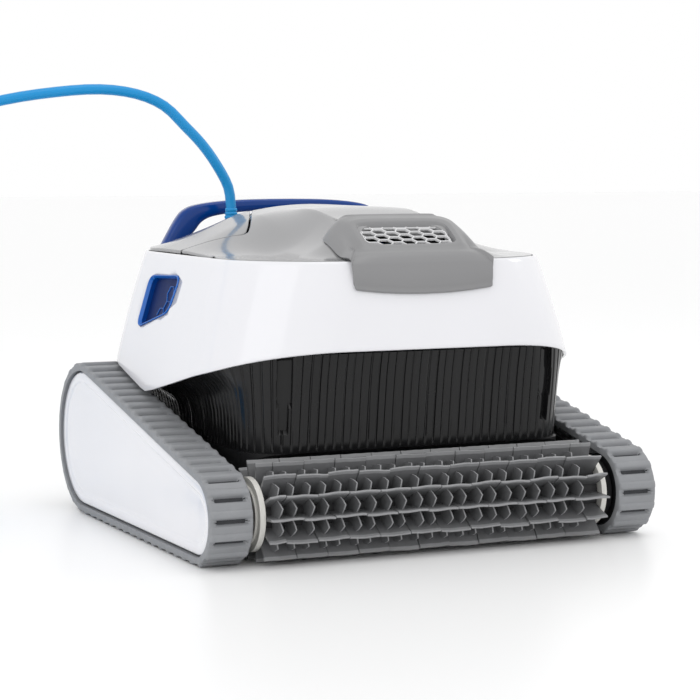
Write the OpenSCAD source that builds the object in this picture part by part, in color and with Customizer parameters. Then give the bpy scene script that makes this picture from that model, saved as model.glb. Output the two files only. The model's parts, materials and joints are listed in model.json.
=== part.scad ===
// Tracked robotic pool cleaner: two rubber tracks, a front scrubbing brush, a ribbed tub under a
// white shell, a hinged lid with the outlet nozzle, and a floating cable on a coil.
// Millimetres, +X across the tracks, -Y the front, +Z up, origin on the floor under the middle.
// Inside most modules y is counted from the front axle, and placed() moves the piece home.

/* [Overall] */
// Width over the two tracks
overall_w = 430; // [400:1:520]
// Distance between the front and rear wheel axes
wheel_base = 305; // [290:1:370]

/* [Tracks] */
// Width of one belt
belt_w = 38; // [31:1:46]
// Outer radius of the belt round the front wheel, over the ridges
front_belt_r = 41; // [38:0.5:46]
// Outer radius of the belt round the rear wheel, over the ridges
rear_belt_r = 73; // [66:0.5:82]
// Height of the outside ridges
ridge_h = 3; // [2:0.5:4]
// Thickness of the belt band
band_t = 5; // [4:0.5:6]
// Length of a ridge along the belt
ridge_len = 6; // [4:0.5:9]
// Number of ridges round one belt
ridge_count = 50; // [40:1:60]
// Height of the guide rib inside the belt
rib_h = 4; // [3:0.5:5]
// Width of the guide rib inside the belt
rib_w = 8; // [6:1:10]
// Gap between the wheels and the belt
belt_gap = 0.4; // [0.3:0.1:1]

/* [Brush] */
// Radius over the brush flaps
brush_r = 46; // [42:0.5:50]
// Radius of the brush core
core_r = 24; // [20:0.5:27]
// Thickness of one flap
flap_t = 2.4; // [1.6:0.2:3]
// Number of flap rows round the core
flap_rows = 14; // [14:2:18]
// Gap between a resting flap and the floor
flap_floor_gap = 0.3; // [0.2:0.1:1]

/* [Body] */
// Half width of the tub and of the ribbed body
tub_half_w = 155; // [150:1:160]
// Height of the tub's underside over the floor
floor_clear = 12; // [8:1:16]
// Thickness of the tub's floor and walls
tub_wall = 4; // [2.5:0.5:5]
// Height where the tub meets the ribbed body
waist_z = 88.3; // [86:0.1:92]
// Wall of the white shell, the ribbed body and the lid
skin_t = 3; // [2:0.5:4]
// Height of the shell's top edge
shell_top_z = 253; // [240:1:275]
// Height of the dome's crest
crest_z = 297; // [280:1:330]
// Height of the handle's top
handle_top_z = 300.5; // [284:0.5:336]

/* [Lid] */
// Gap round the lid
lid_gap = 1.2; // [0.8:0.1:2]
// Radius of the hinge pin
hinge_pin_r = 2.5; // [2:0.1:3]

/* [Drive] */
// Radius of the drive shafts
shaft_r = 6; // [5:0.5:7]
// Radial running clearance of shafts and journals
run_fit = 0.05; // [0.02:0.01:0.1]
// Radius of the front wheel journals
journal_r = 12; // [10:0.5:13]

/* [Pump] */
// Inner radius of the outlet duct
duct_r = 35; // [30:1:37]
// Gap between the impeller blades and the duct
blade_gap = 2; // [1:0.5:4]
// Number of impeller blades
blade_count = 4; // [3:1:6]

/* [Cable] */
// Diameter of the cable
cable_d = 10; // [8:0.5:11]

/* [Hidden] */

$fn = 64;

// ---- driving places ----
overall_l = brush_r + wheel_base + rear_belt_r;
front_axle_y = brush_r - overall_l / 2;
half_w = overall_w / 2;
belt_in_x = half_w - belt_w;
slope = 2 * atan((rear_belt_r - front_belt_r) / wheel_base);
band_out = ridge_h;
band_in = ridge_h + band_t;
rib_in = band_in + rib_h;
front_z = front_belt_r;
rear_z = rear_belt_r;
cover_inset = band_in + 1.6;
belt_mid_x = half_w - belt_w / 2;

module placed() { translate([0, front_axle_y, 0]) children(); }
module along_x(x0, w) { translate([x0, 0, 0]) rotate([90, 0, 90]) linear_extrude(w) children(); }
module x_cyl(x0, x1, r) { translate([x0, 0, 0]) rotate([0, 90, 0]) cylinder(h = x1 - x0, r = r); }
module side(s) { if (s > 0) children(); else mirror([1, 0, 0]) children(); }
function clamp01(v) = min(1, max(0, v));
function smooth(v) = let (c = clamp01(v)) c * c * (3 - 2 * c);
function mix(a, b, t) = a + (b - a) * t;
function reversed(v) = [for (i = [len(v) - 1:-1:0]) v[i]];

// ---- track path: bottom run, rear arc, sloping top run, front arc ----
function rear_arc(o) = (rear_belt_r - o) * (180 + slope) * PI / 180;
function front_arc(o) = (front_belt_r - o) * (180 - slope) * PI / 180;
loop_len = 2 * wheel_base + rear_arc(band_out) + front_arc(band_out);
// Centre [y, z] of a place s along the band's outside, and the outward direction there
function path_at(s) =
    let (a1 = wheel_base, a2 = a1 + rear_arc(band_out), a3 = a2 + wheel_base)
    s < a1 ? [s, band_out, -90]
    : s < a2 ? let (t = -90 + (s - a1) / (a2 - a1) * (180 + slope))
        [wheel_base + (rear_belt_r - band_out) * cos(t), rear_z + (rear_belt_r - band_out) * sin(t), t]
    : s < a3 ? let (t = 90 + slope, k = (s - a2) / wheel_base)
        [wheel_base * (1 - k) + mix(rear_belt_r - band_out, front_belt_r - band_out, k) * cos(t),
         mix(rear_z, front_z, k) + mix(rear_belt_r - band_out, front_belt_r - band_out, k) * sin(t), t]
    : let (t = 90 + slope + (s - a3) / (loop_len - a3) * (180 - slope))
        [(front_belt_r - band_out) * cos(t), front_z + (front_belt_r - band_out) * sin(t), t];

// Outline of the whole track, inset by o from the ridge tops: two arcs joined by flat runs
arc_step = 5;
module track_outline(o) {
    fr = front_belt_r - o;
    rr = rear_belt_r - o;
    rear_n = ceil((180 + slope) / arc_step);
    front_n = ceil((180 - slope) / arc_step);
    polygon(concat(
        [for (i = [0:rear_n]) let (t = -90 + (180 + slope) * i / rear_n)
            [wheel_base + rr * cos(t), rear_z + rr * sin(t)]],
        [for (i = [0:front_n]) let (t = 90 + slope + (180 - slope) * i / front_n)
            [fr * cos(t), front_z + fr * sin(t)]]));
}

module track_belt() {
    along_x(belt_in_x, belt_w) difference() {
        track_outline(band_out);
        track_outline(band_in);
    }
    along_x(belt_mid_x - rib_w / 2, rib_w) difference() {
        track_outline(band_in);
        track_outline(rib_in);
    }
    for (i = [0:ridge_count - 1]) {
        p = path_at((i + 0.5) * loop_len / ridge_count);
        translate([belt_in_x + 2, p[0], p[1]]) rotate([p[2], 0, 0])
            translate([0, -0.6, -ridge_len / 2]) cube([belt_w - 4, ridge_h + 0.6, ridge_len]);
    }
}

// ---- wheels: rim with a groove for the belt's guide rib, web, and hub ----
wheel_in_x = belt_in_x + 2;
wheel_out_x = half_w - 10;
frame_in_x = belt_in_x - 5;
frame_out_x = belt_in_x - 1;
module grooved_rim(r, groove_r, bore_r) {
    difference() {
        x_cyl(wheel_in_x, wheel_out_x, r);
        x_cyl(wheel_in_x - 1, wheel_out_x + 1, bore_r);
        difference() {
            x_cyl(belt_mid_x - rib_w / 2 - 0.6, belt_mid_x + rib_w / 2 + 0.6, r + 1);
            x_cyl(belt_mid_x - rib_w / 2 - 1, belt_mid_x + rib_w / 2 + 1, groove_r);
        }
    }
}
module front_wheel_shape() {
    rim = front_belt_r - band_in - belt_gap;
    groove = front_belt_r - rib_in - belt_gap;
    translate([0, 0, front_z]) {
        grooved_rim(rim, groove, groove - 4);
        x_cyl(wheel_in_x, wheel_in_x + 5, groove - 3);
        x_cyl(brush_half_l + ring_step + 0.3, wheel_in_x + 1, journal_r);
        x_cyl(brush_half_l - 12, frame_in_x, spigot_r);
    }
}
module drive_wheel_shape() {
    rim = rear_belt_r - band_in - belt_gap;
    groove = rear_belt_r - rib_in - belt_gap;
    translate([0, wheel_base, rear_z]) difference() {
        union() {
            grooved_rim(rim, groove, groove - 5);
            x_cyl(wheel_in_x + 6, wheel_in_x + 11, groove - 4);
            x_cyl(wheel_in_x + 1, wheel_out_x - 2, 15);
        }
        x_cyl(wheel_in_x - 1, wheel_out_x - 5, shaft_r);
        for (i = [0:5]) rotate([i * 60, 0, 0]) translate([0, (groove + 10) / 2, 0])
            x_cyl(wheel_in_x, wheel_out_x, 9);
    }
}
module drive_shaft_shape() {
    translate([0, wheel_base, rear_z]) x_cyl(motor_out_x - 10, wheel_out_x - 5, shaft_r);
}

// ---- brush: moulded core, rows of flaps, an end ring at each side ----
brush_half_l = frame_in_x - 4;
ring_step = 2;
spigot_r = 9;
ring_t = 5;
flap_half_l = brush_half_l - ring_t - 0.5;
flap_step = 360 / flap_rows;
// A flap that points at the floor is bent by it, so it reaches less far
function flap_r(a) =
    let (down = abs(a) < 90 ? cos(a) : 0)
    down > 0 ? min(brush_r, (front_z - flap_floor_gap) / down - flap_t / 2 * abs(sin(a))) : brush_r;
module brush_core_shape() {
    translate([0, 0, front_z]) difference() {
        x_cyl(-brush_half_l + ring_t, brush_half_l - ring_t, core_r);
        x_cyl(-brush_half_l, -brush_half_l + 12.2, spigot_r);
        x_cyl(brush_half_l - 12.2, brush_half_l, spigot_r + run_fit);
    }
}
module brush_flaps_shape() {
    translate([0, 0, front_z]) for (i = [0:flap_rows - 1]) {
        a = (i + 0.5) * flap_step;
        fold = a > 180 ? a - 360 : a;
        rotate([a, 0, 0]) translate([-flap_half_l, -flap_t / 2, -flap_r(fold)])
            difference() {
                cube([2 * flap_half_l, flap_t, flap_r(fold)]);
                translate([-1, flap_t / 2, flap_r(fold)]) x_cyl(0, 2 * flap_half_l + 2, core_r);
            }
    }
}
module brush_ring_shape(bore) {
    translate([0, 0, front_z]) difference() {
        union() {
            x_cyl(brush_half_l - ring_t, brush_half_l, 32);
            x_cyl(brush_half_l, brush_half_l + ring_step, 26);
        }
        x_cyl(brush_half_l - ring_t - 1, brush_half_l + 3, bore);
    }
}

// ---- side frames, bushes, bearings and covers ----
bush_t = 3;
bearing_r = 14;
posts = [[66, 42], [150, 26], [205, 96]];
tub_posts = [[70, 70], [140, 70], [210, 70], [215, 30], [250, 24]];
top_line = front_z + front_belt_r / cos(slope);
fender_in_x = tub_half_w + 5;
fender_y = [58, wheel_base - 15];
fender_drop = [22, 19];
seal_r = 11;
module side_frame_shape() {
    difference() {
        union() {
            along_x(frame_in_x, frame_out_x - frame_in_x) difference() {
                track_outline(cover_inset + 4);
                translate([108, 58]) circle(15);
                translate([178, 56]) circle(17);
            }
            // fender that fills the gap beside the body
            along_x(fender_in_x, frame_in_x - fender_in_x + 1) polygon([
                for (c = [[0, 0], [1, 0], [1, 1], [0, 1]])
                    [fender_y[c[0]], top_line + fender_y[c[0]] * tan(slope) - fender_drop[c[1]]]]);
            for (p = tub_posts) translate([0, p[0], p[1]]) x_cyl(tub_half_w, frame_in_x + 1, 7);
        }
        translate([0, 0, front_z]) x_cyl(frame_in_x - 1, frame_out_x + 1, journal_r + bush_t);
        translate([0, wheel_base, rear_z]) x_cyl(frame_in_x - 1, frame_out_x + 1, bearing_r);
        for (p = posts) translate([0, p[0], p[1]]) x_cyl(frame_in_x - 1, frame_out_x + 1, 2);
    }
}
module front_bush_shape() {
    translate([0, 0, front_z]) difference() {
        x_cyl(frame_in_x - 1, frame_out_x, journal_r + bush_t);
        x_cyl(frame_in_x - 2, frame_out_x + 1, journal_r + run_fit);
    }
}
module rear_bearing_shape() {
    translate([0, wheel_base, rear_z]) difference() {
        x_cyl(frame_in_x, frame_out_x, bearing_r);
        x_cyl(frame_in_x - 1, frame_out_x + 1, shaft_r + run_fit);
    }
}
cover_in_x = half_w - 9;
cover_out_x = half_w - 2;
module side_cover_shape() {
    difference() {
        union() {
            along_x(cover_in_x, cover_out_x - cover_in_x) track_outline(cover_inset);
            for (p = posts) translate([0, p[0], p[1]]) x_cyl(frame_out_x, cover_in_x + 1, 5);
        }
        difference() {
            along_x(cover_in_x - 1, 4.5) track_outline(cover_inset + 3);
            for (p = posts) translate([0, p[0], p[1]]) x_cyl(cover_in_x - 2, cover_out_x, 5);
        }
        along_x(cover_out_x - 1, 2) track_outline(cover_inset + 11);
        for (p = posts) translate([0, p[0], p[1]]) x_cyl(frame_out_x - 1, cover_in_x - 12, 1.6);
    }
}
module cover_screws_shape() {
    for (p = posts) translate([0, p[0], p[1]]) {
        x_cyl(frame_in_x - 2.6, frame_in_x, 4);
        x_cyl(frame_in_x - 1, cover_in_x - 16, 1.6);
    }
}

// ---- tub: floor, walls, an arch over the brush, intake slots and seats ----
tub_front = 14;
tub_rear = wheel_base + 27;
arch_r = brush_r + 3.3;
corner_r = tub_wall + 28;
pump_y = 85;
intake_y = [150, 222];
intake_w = 116;
intake_l = 24;
flap_pin_lift = 3.4;
tub_floor_z = floor_clear + tub_wall;
module rounded_plan(hw, f, b, rf, rb) {
    translate([-hw, f + rf]) square([2 * hw, b - f - rf - rb]);
    translate([-hw + rf, f]) square([2 * (hw - rf), rf + 1]);
    translate([-hw + rb, b - rb - 1]) square([2 * (hw - rb), rb + 1]);
    for (s = [-1, 1]) {
        translate([s * (hw - rf), f + rf]) circle(rf);
        translate([s * (hw - rb), b - rb]) circle(rb);
    }
}
module base_tub_shape() {
    difference() {
        translate([0, 0, floor_clear]) linear_extrude(waist_z - floor_clear)
            rounded_plan(tub_half_w, tub_front, tub_rear, corner_r, corner_r);
        translate([0, 0, front_z]) x_cyl(-200, 200, arch_r);
        difference() {
            translate([0, 0, tub_floor_z]) linear_extrude(waist_z)
                rounded_plan(tub_half_w - tub_wall, tub_front + tub_wall, tub_rear - tub_wall,
                             corner_r - tub_wall, corner_r - tub_wall);
            translate([0, 0, front_z]) x_cyl(-200, 200, arch_r + tub_wall);
        }
        for (y = intake_y)
            translate([-intake_w / 2, y, floor_clear - 1]) cube([intake_w, intake_l, tub_wall + 2]);
        for (s = [-1, 1]) translate([0, wheel_base, rear_z]) side(s)
            x_cyl(tub_half_w - tub_wall - 8, tub_half_w + 1, seal_r);
    }
    // ears that hold the flap pins
    for (y = intake_y) for (s = [-1, 1])
        translate([s * (intake_w / 2 + 3.5) - 1.5, y - 7, tub_floor_z - 1]) difference() {
            cube([3, 7, 8]);
            translate([-1, 4, flap_pin_lift + 1]) rotate([0, 90, 0])
                cylinder(h = 5, r = flap_pin_r, $fn = 24);
        }
}
flap_pin_r = 1.3;
flap_pin_half = intake_w / 2 + 5;
module flap_pin_shape(y) {
    translate([0, y - 3, tub_floor_z + flap_pin_lift]) x_cyl(-flap_pin_half, flap_pin_half, flap_pin_r);
}
module intake_flap_shape(y) {
    translate([0, y - 3, tub_floor_z + flap_pin_lift]) difference() {
        union() {
            x_cyl(-intake_w / 2 + 1, intake_w / 2 - 1, 2.6);
            translate([-intake_w / 2 - 1, 0, -2.6]) cube([intake_w + 2, intake_l + 6, 1.8]);
        }
        x_cyl(-intake_w, intake_w, flap_pin_r + run_fit);
    }
}

// ---- plan outlines that are lofted into the ribbed body and the shell ----
arc_n = 9;
function half_plan(hw, f, b, rf, rr, yv) = concat(
    [for (i = [0:2]) [(hw - rf) * i / 3, f]],
    [for (i = [0:arc_n]) let (t = -90 + 90 * i / arc_n) [hw - rf + rf * cos(t), f + rf + rf * sin(t)]],
    [[hw, (f + rf + yv) / 2], [hw, yv], [hw, (yv + b - rr) / 2]],
    [for (i = [0:arc_n]) let (t = 90 * i / arc_n) [hw - rr + rr * cos(t), b - rr + rr * sin(t)]],
    [[(hw - rr) * 2 / 3, b], [(hw - rr) / 3, b], [0, b]]);
function full_plan(h) = concat(h, [for (i = [len(h) - 2:-1:1]) [-h[i][0], h[i][1]]]);
// A closed band of rings: each ring joins the next, and the last joins the first
module ring_loft(rings) {
    n = len(rings[0]);
    m = len(rings);
    polyhedron(
        points = [for (r = rings) for (p = r) p],
        faces = [for (i = [0:m - 1]) for (j = [0:n - 1]) for (h = [0, 1])
            let (a = i * n + j, b = i * n + (j + 1) % n,
                 c = ((i + 1) % m) * n + (j + 1) % n, d = ((i + 1) % m) * n + j)
            h == 0 ? [a, c, b] : [a, d, c]]);
}

// Ribbed body: leans forward and flares out to meet the shell's lower edge
body_z = [waist_z, 105, 130, 150, 160, 168, 174];
body_flare = [0, 0, 1, 4, 9, 15, 21];
body_top_z = 174;
v_corner_y = wheel_base - 112;
function body_ring(i, inset) =
    let (k = (body_z[i] - waist_z) / (body_top_z - waist_z), fl = body_flare[i], lean = 10 * k,
         h = half_plan(tub_half_w + fl - inset, tub_front - lean - fl * 0.15 + inset,
                       tub_rear - 4 + fl * 0.2 - inset, 38 + fl * 2 - inset, corner_r + fl - inset,
                       v_corner_y))
    [for (p = full_plan(h)) [p[0], p[1], waist_z + (min(body_top_z, low_edge(p) + 3) - waist_z) * k]];
module ribbed_body_shape() {
    ring_loft(concat([for (i = [0:len(body_z) - 1]) body_ring(i, 0)],
                     [for (i = [len(body_z) - 1:-1:0]) body_ring(i, skin_t)]));
}

// Shell: lower edge dips to a point on each side, then follows the track up to the rear
function low_edge(p) =
    p[1] < 15 ? mix(178, 170, clamp01((p[1] + 15) / 30))
    : p[1] < 60 ? mix(170, 157, (p[1] - 15) / 45)
    : p[1] < v_corner_y ? mix(157, low_point_z, (p[1] - 60) / (v_corner_y - 60))
    : min(low_point_z + (p[1] - v_corner_y) * 0.215, 152);
low_point_z = 127;
shell_bot = [190, -15, wheel_base + 30, 106, 60];
shell_top = [155, 5, wheel_base + 25, 97, 55];
function bulge(t) = 0.73 * t + 0.27 * t * t;
function shell_plan(t, inset) =
    let (q = mix(shell_bot, shell_top, bulge(t)))
    full_plan(half_plan(q[0] - inset, q[1] + inset, q[2] - inset, q[3] - inset, q[4] - inset, v_corner_y));
shell_ref_z = 127;
function shell_ring(k, inset) =
    let (base = shell_plan(0.35, inset), n = len(base))
    [for (j = [0:n - 1])
        let (zb = low_edge(base[j]), z = mix(zb, shell_top_z, k),
             t = (z - shell_ref_z) / (shell_top_z - shell_ref_z), p = shell_plan(t, inset)[j])
        [p[0], p[1], z]];
module outer_shell_shape() {
    ks = [0, 0.25, 0.5, 0.75, 1];
    difference() {
        ring_loft(concat([for (k = ks) shell_ring(k, 0)], [for (k = reversed(ks)) shell_ring(k, skin_t)]));
        for (s = [-1, 1]) side(s) vent_prism(-2 * vent_depth, 4 * vent_depth, vent_gap);
    }
}

// ---- height of the grey top: dome, side scoops and the spine that runs to the nozzle ----
function dome_drop(x) = abs(x) < 75 ? x * x / 640 : 8.8 + 0.42 * (abs(x) - 75);
function dome_z(x, y) =
    let (r = clamp01((y - hinge_y + 26) / (shell_top[2] + 27 - hinge_y)))
    shell_top_z + (crest_z - dome_drop(x) - shell_top_z) * (1 - pow(r, 1.5));
function scoop_z(x, y) =
    let (u = clamp01((abs(x) - 48) / 64), spine = mix(crest_z - 12, crest_z, smooth((y - 50) / 110)))
    shell_top_z + 0.5 + (spine - shell_top_z - 0.5) * (1 - u) * (1 - u) * smooth((y - 12) / 46);
function top_z(x, y) = mix(scoop_z(x, y), dome_z(x, y), smooth((y - 95) / 105));

// Lid outline: inside the shell's front, then in along a diagonal and back as a tongue
hinge_y = wheel_base - 34;
hinge_z = crest_z - 14;
tongue_y = hinge_y - 6.5;
deck_front_y = hinge_y + 8.5;
knuckle_r = hinge_pin_r + 3.5;
lid_knuckles = [-36, 14];
deck_knuckles = [[-50, -37], [-13, 13], [37, 50]];
tongue_w = 53;
// Half width and distance in front of the hinge, along the seam from the side to the tongue
seam_line = [[130, 86], [112, 98], [103, 105], [97, 104], [90, 92], [81, 72], [72, 51], [63, 30]];
seam_y = hinge_y - 71;
rim_gap = skin_t + lid_gap;
lid_hw = shell_top[0] - rim_gap;
lid_half =
    let (q = half_plan(lid_hw, shell_top[1] + rim_gap, shell_top[2], shell_top[3] - rim_gap, 40, seam_y - 26))
    concat([for (i = [0:2 + arc_n + 1]) q[i]],
           [[lid_hw, (101 + seam_y) / 2], [lid_hw, seam_y - 1]],
           [for (p = seam_line) [p[0], hinge_y - p[1]]],
           [[tongue_w, tongue_y], [36, tongue_y], [18, tongue_y], [0, tongue_y]]);
lid_out = full_plan(lid_half);
outlet_c = [0, 40];
outlet_r = [41, 15];
function lid_hole(p) =
    let (a = atan2(p[1] - outlet_c[1], p[0]))
    [outlet_r[0] * cos(a), outlet_c[1] + outlet_r[1] * sin(a)];
function lid_ring(k, drop) =
    [for (p = lid_out) let (h = lid_hole(p), q = [mix(h[0], p[0], k), mix(h[1], p[1], k)])
        [q[0], q[1], top_z(q[0], q[1]) - drop]];
lid_ks = [0, 0.08, 0.17, 0.26, 0.35, 0.44, 0.53, 0.62, 0.71, 0.8, 0.9, 1];
module lid_shape() {
    ring_loft(concat([for (k = lid_ks) lid_ring(k, skin_t)], [for (k = reversed(lid_ks)) lid_ring(k, 0)]));
    for (x = lid_knuckles) knuckle(x, x + 22, -1, hinge_pin_r + run_fit);
}
// Hinge barrel with an arm to the skin in front of it (dir -1) or behind it (dir 1)
module knuckle(x0, x1, dir, bore) {
    translate([0, hinge_y, hinge_z]) difference() {
        union() {
            x_cyl(x0, x1, knuckle_r);
            translate([x0, dir > 0 ? 0 : -arm_len, -2]) cube([x1 - x0, arm_len, knuckle_r]);
            translate([x0, dir > 0 ? arm_len - 5 : -arm_len, 1]) cube([x1 - x0, 5, dir > 0 ? 4 : 5.5]);
        }
        x_cyl(x0 - 1, x1 + 1, bore);
    }
}
arm_len = 14;
module lid_hinge_pin_shape() { translate([0, hinge_y, hinge_z]) x_cyl(-51.5, 51.5, hinge_pin_r); }

// Rear deck: the U between the lid's tongue and the shell's rear edge
deck_out_half =
    let (rear_y = shell_top[2] - rim_gap, rear_r = shell_top[4] - rim_gap,
         q = half_plan(lid_hw, shell_top[1], rear_y, shell_top[3], rear_r, seam_y + 30))
    concat([for (d = [1, 12, 26, 42]) [lid_hw, seam_y + d]],
           [for (i = [arc_n + 6:len(q) - 1]) q[i]]);
// The same seam on the deck's side, a lid gap away
deck_seam = [
    [130, 84], [112, 95.5], [103.3, 102.2], [99, 102], [91.5, 90.5], [82.5, 71], [73.5, 50],
    [69, 40], [64.5, 29], [60, 18], [56.5, 9], [56, 3], [56, -3]];
deck_in_half = concat(
    [[lid_hw - 5, seam_y - 0.5]],
    [for (p = deck_seam) [p[0], hinge_y - p[1]]],
    [for (x = [55, 37, 18, 0]) [x, deck_front_y]]);
function both_sides(h) = concat(h, [for (i = [len(h) - 2:-1:0]) [-h[i][0], h[i][1]]]);
module strip_loft(inner, outer, rows, drop) {
    a = both_sides(inner);
    b = both_sides(outer);
    n = len(a);
    top = [for (i = [0:rows]) for (j = [0:n - 1])
        let (x = mix(a[j][0], b[j][0], i / rows), y = mix(a[j][1], b[j][1], i / rows)) [x, y, top_z(x, y)]];
    pts = concat(top, [for (p = top) [p[0], p[1], p[2] - drop]]);
    m = (rows + 1) * n;
    polyhedron(points = pts, faces = concat(
        [for (i = [0:rows - 1]) for (j = [0:n - 2]) let (c = i * n + j) each [
            [c, c + n + 1, c + n], [c, c + 1, c + n + 1],
            [m + c, m + c + n, m + c + n + 1], [m + c, m + c + n + 1, m + c + 1]]],
        [for (j = [0:n - 2]) each [[j, m + j + 1, j + 1], [j, m + j, m + j + 1]]],
        [for (j = [0:n - 2]) let (c = rows * n + j) each [[c, c + 1, m + c + 1], [c, m + c + 1, m + c]]],
        [for (i = [0:rows - 1]) let (c = i * n) each [[c, m + c + n, m + c], [c, c + n, m + c + n]]],
        [for (i = [0:rows - 1]) let (c = i * n + n - 1)
            each [[c, m + c, m + c + n], [c, m + c + n, c + n]]]));
}
module top_deck_shape() {
    difference() {
        strip_loft(deck_in_half, deck_out_half, 5, skin_t);
        translate([gland_at[0], gland_at[1], shell_top_z]) cylinder(h = 60, r = gland_r);
    }
    for (k = deck_knuckles) knuckle(k[0], k[1], 1, hinge_pin_r);
}

// ---- nozzle cover: front lip over the shell, flared base, tilted frame round the grille ----
frame_bottom = [18.9, 264.7];
frame_top = [50.3, 284];
frame_pitch = atan((frame_top[1] - frame_bottom[1]) / (frame_top[0] - frame_bottom[0]));
nz_n = 40;
// Rounded rectangle as a superellipse, angle 0 at +x
function se(hx, hy, cy, e, i) =
    let (a = 360 * i / nz_n, c = cos(a), s = sin(a))
    [hx * sign(c) * pow(abs(c), e), cy + hy * sign(s) * pow(abs(s), e)];
function frame_plane(y) = frame_bottom[1] + (y - frame_bottom[0]) * tan(frame_pitch);
function nz_ring(hx, y0, y1, e, zf) =
    [for (i = [0:nz_n - 1])
        let (p = se(hx, (y1 - y0) / 2, (y0 + y1) / 2, e, i))
        [p[0], p[1], zf(p)]];
// Front face of the shell at a height, which the nozzle's lip follows
function shell_front(z) =
    mix(shell_bot[1], shell_top[1], bulge((z - shell_ref_z) / (shell_top_z - shell_ref_z)));
lip_gap = 0.8;
lip_t = 2.4;
lip_z = 224;
function lip_low(x) = lip_z + 5 * pow(x / 70, 2);
nz_front = nz_n * 3 / 4;
nz_lip = round(nz_n * 0.18);
module nozzle_cover_shape() {
    // A ring whose front stretch hangs down as the lip, with a corner point at the shell's top edge
    lip_ring = function (q, y, z, up, corner_z) [for (i = [0:nz_n - 1])
        let (x = q[i][0], sag = 0.00012 * x * x, from_front = abs(i - nz_front))
        from_front <= nz_lip ? [x, y + sag, z(x)]
        : from_front == nz_lip + 1 ? [x, max(y, shell_top[1] - lip_gap - up) + sag, corner_z]
        : [x, q[i][1], max(shell_top_z + 1 + up, top_z(x, q[i][1]) + up)]];
    low = function (x) lip_low(x);
    rim = function (x) shell_top_z + 0.8;
    ridge = function (x) shell_top_z + 3.4;
    mid = function (p) mix(261, frame_plane(p[1]) - 3, clamp01((p[1] - 14) / 20));
    face = function (p) frame_plane(p[1]) + 1;
    step = function (p) frame_plane(p[1]) - 1.5;
    deep = function (p) max(frame_plane(p[1]) - 11, 256);
    lip_y = shell_front(lip_z) - lip_gap;
    ring_loft([
        lip_ring(nz_ring(69, -3, 72, 0.45, face), lip_y - lip_t, low, 0.2, shell_top_z + 1.6),
        lip_ring(nz_ring(71, 2.2, 74, 0.45, face), shell_top[1] - lip_gap - lip_t + 1, ridge, 1,
                 shell_top_z + 3.4),
        nz_ring(58, 11, 66, 0.42, mid),
        nz_ring(50, 16.5, 55.5, 0.4, face),
        nz_ring(44.5, 20.5, 50.5, 0.4, face),
        nz_ring(43.5, 21.5, 49.5, 0.4, step), nz_ring(43.5, 22, 49.5, 0.4, deep),
        nz_ring(60, 6, 60, 0.42, function (p) 255.6 + clamp01((p[1] - 30) / 30) * 16),
        lip_ring(nz_ring(68, 0.4, 69, 0.45, face), shell_top[1] - lip_gap, rim, 0.1, shell_top_z + 0.8),
        lip_ring(nz_ring(67, 0.4, 69, 0.45, face), lip_y, low, 0, shell_top_z + 0.6)]);
}
// Honeycomb net set in the frame
hex_pitch = 13;
hex_row = 8.2;
hex_bar = 1.4;
module outlet_grille_shape() {
    len_f = (frame_top[0] - frame_bottom[0]) / cos(frame_pitch);
    translate([0, frame_bottom[0], frame_bottom[1]]) rotate([frame_pitch, 0, 0]) translate([0, len_f / 2, -4])
        linear_extrude(2) difference() {
            square([85, 31], center = true);
            intersection() {
                square([82, 28], center = true);
                for (i = [-4:4]) for (j = [-3:3])
                    translate([i * hex_pitch * 0.9, (j + (abs(i) % 2) / 2) * hex_row])
                        circle(r = (hex_row - hex_bar) / sqrt(3), $fn = 6);
            }
        }
}

// ---- side vents: a dark blue pocket with a rim, set in the shell's side ----
vent_c = [v_corner_y + 19, 212];
vent_corners = [for (d = [[-42, 23], [-36, -11], [37, -30], [38, 20]]) vent_c + d];
vent_t = (vent_c[1] - shell_ref_z) / (shell_top_z - shell_ref_z);
vent_x = mix(shell_bot[0], shell_top[0], bulge(vent_t));
vent_tilt = atan((shell_bot[0] - shell_top[0]) * (0.73 + 0.54 * vent_t) / (shell_top_z - shell_ref_z));
vent_rim = 4;
vent_depth = 9;
vent_proud = 1;
vent_gap = 0.3;
module vent_prism(x0, w, grow) {
    translate([vent_x, 0, vent_c[1]]) rotate([0, -vent_tilt, 0]) along_x(x0, w)
        polygon([for (p = vent_corners) let (d = p - vent_c, k = 1 + grow / norm(d) * 1.4)
            [vent_c[0] + d[0] * k, d[1] * k / cos(vent_tilt)]]);
}
module side_vent_shape() {
    difference() {
        vent_prism(-vent_depth, vent_depth + vent_proud, 0);
        vent_prism(-vent_depth + skin_t, vent_depth, -vent_rim);
    }
}

// ---- carry handle: an arch across the rear, open for the hand ----
handle_y = wheel_base + 11;
handle_d = 16;
handle_bar = 12;
handle_hw = 127;
handle_foot_z = shell_top_z - 3;
module handle_arch(top, w) {
    // Distance in from the foot, and depth under the crown
    steps = [[16, 21], [26, 10], [42, 4.5], [76, 1]];
    polygon(concat(
        [[-w, handle_foot_z]],
        [for (p = steps) [-w + p[0], top - p[1]]],
        [[0, top]],
        [for (p = reversed(steps)) [w - p[0], top - p[1]]],
        [[w, handle_foot_z]]));
}
module carry_handle_shape() {
    translate([0, handle_y + handle_d, 0]) rotate([90, 0, 0]) linear_extrude(handle_d) difference() {
        handle_arch(handle_top_z, handle_hw);
        translate([0, -1]) handle_arch(handle_top_z - handle_bar + 1, handle_hw - handle_bar * 1.5);
    }
}

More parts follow.
